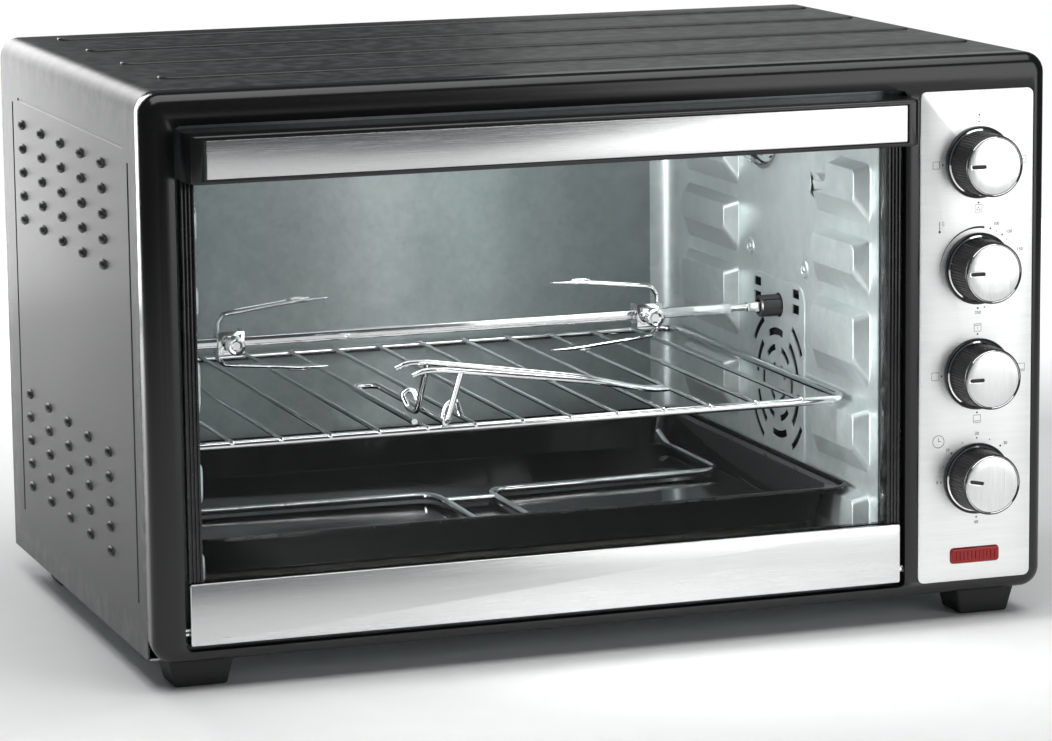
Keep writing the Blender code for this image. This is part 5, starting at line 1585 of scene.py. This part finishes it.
# %% [markdown]
# ## Light and floor
# A pale floor and a few softboxes. Dark parts only look glossy when they mirror something bright
# next to something dark, so the room itself stays dim for reflections, while the backdrop that
# the camera sees directly is white. One panel behind on the left draws the grey sweep on the side,
# one behind on the right lights the roof, and one in front on the right fills the brushed steel. An
# overhead panel lights the whole oven softly, and three small ones light the cavity.

# %% Helpers and lamps
def softbox(name, place, target, width, height, power):
    data = bpy.data.lights.new(name, "AREA")
    data.shape = "RECTANGLE"
    data.size = width
    data.size_y = height
    data.energy = power
    lamp = bpy.data.objects.new(name, data)
    bpy.context.scene.collection.objects.link(lamp)
    lamp.location = place
    lamp.rotation_euler = (Vector(target) - Vector(place)).to_track_quat("-Z", "Y").to_euler()
    lamp.visible_camera = False
    return lamp


softbox("panel_left_rear", (-0.37, 1.00, 0.44), (-0.34, 0.0, 0.20), 0.34, 0.86, 5)
softbox("panel_right_rear", (1.05, 1.45, 0.75), (0.2, 0.0, 0.25), 1.1, 0.9, 1.2)
softbox("panel_front_right", (1.30, -2.0, 0.50), (0.1, -0.1, 0.15), 1.2, 1.4, 12)
softbox("panel_overhead", (0.0, -0.5, 1.9), (0.0, 0.0, 0.0), 2.4, 1.8, 36)
softbox("cavity_glow", at(0.06, 0.12, 0.288), at(0.02, 0.20, 0.0), 0.16, 0.10, 0.26)
softbox("cavity_fill", at(-0.05, 0.03, 0.270), at(0.05, 0.30, 0.10), 0.30, 0.03, 0.10)
side_glow = softbox("cavity_side", at(-0.215, 0.030, 0.165), at(0.171, 0.060, 0.155), 0.03, 0.24, 0.8)
side_glow.data.spread = math.radians(105)
print("lamps:", len(bpy.data.lights))

# %% The room and the floor
room = bpy.data.worlds.new("room")
bpy.context.scene.world = room
room.use_nodes = True
sky = room.node_tree
backdrop = sky.nodes["Background"]
backdrop.inputs["Color"].default_value = (1, 1, 1, 1)
backdrop.inputs["Strength"].default_value = 1.0
dim = put(sky, "ShaderNodeBackground", {"Color": (0.86, 0.93, 1.0, 1), "Strength": 0.07})
seen = put(sky, "ShaderNodeLightPath")
either = put(sky, "ShaderNodeMixShader")
link(sky, seen, "Is Camera Ray", either, "Fac")
link(sky, dim, "Background", either, 1)
link(sky, backdrop, "Background", either, 2)
sky.links.new(either.outputs["Shader"], sky.nodes["World Output"].inputs["Surface"])

unselect()
bpy.ops.mesh.primitive_circle_add(vertices=96, radius=1.7, fill_type="NGON", location=(0, 0, 0))
floor = named("floor")
pale = finish("pale_floor", PEEL, 40, EVEN, grey(0.93), grey(0.96), (0.55, 0.65), 0.0)
floor_tree = pale.node_tree
reach = put(floor_tree, "ShaderNodeTexGradient", gradient_type="SPHERICAL")
spread = put(floor_tree, "ShaderNodeMapping", {"Scale": (0.72, 0.72, 0.72)})
rim = put(floor_tree, "ShaderNodeMapRange", {"From Min": 0.52, "From Max": 0.12})
glow = put(floor_tree, "ShaderNodeLightPath")
lit = put(floor_tree, "ShaderNodeMath", operation="MULTIPLY")
spot = put(floor_tree, "ShaderNodeTexCoord")
floor_shader = floor_tree.nodes["Principled BSDF"]
floor_shader.inputs["Emission Color"].default_value = (1, 1, 1, 1)
link(floor_tree, spot, "Object", spread, "Vector")
link(floor_tree, spread, "Vector", reach, "Vector")
link(floor_tree, reach, "Fac", rim, "Value")
link(floor_tree, rim, "Result", lit, 0)
link(floor_tree, glow, "Is Camera Ray", lit, 1)
link(floor_tree, lit, 0, floor_shader, "Emission Strength")
floor.data.materials.append(pale)
print("floor at", floor.location.z)
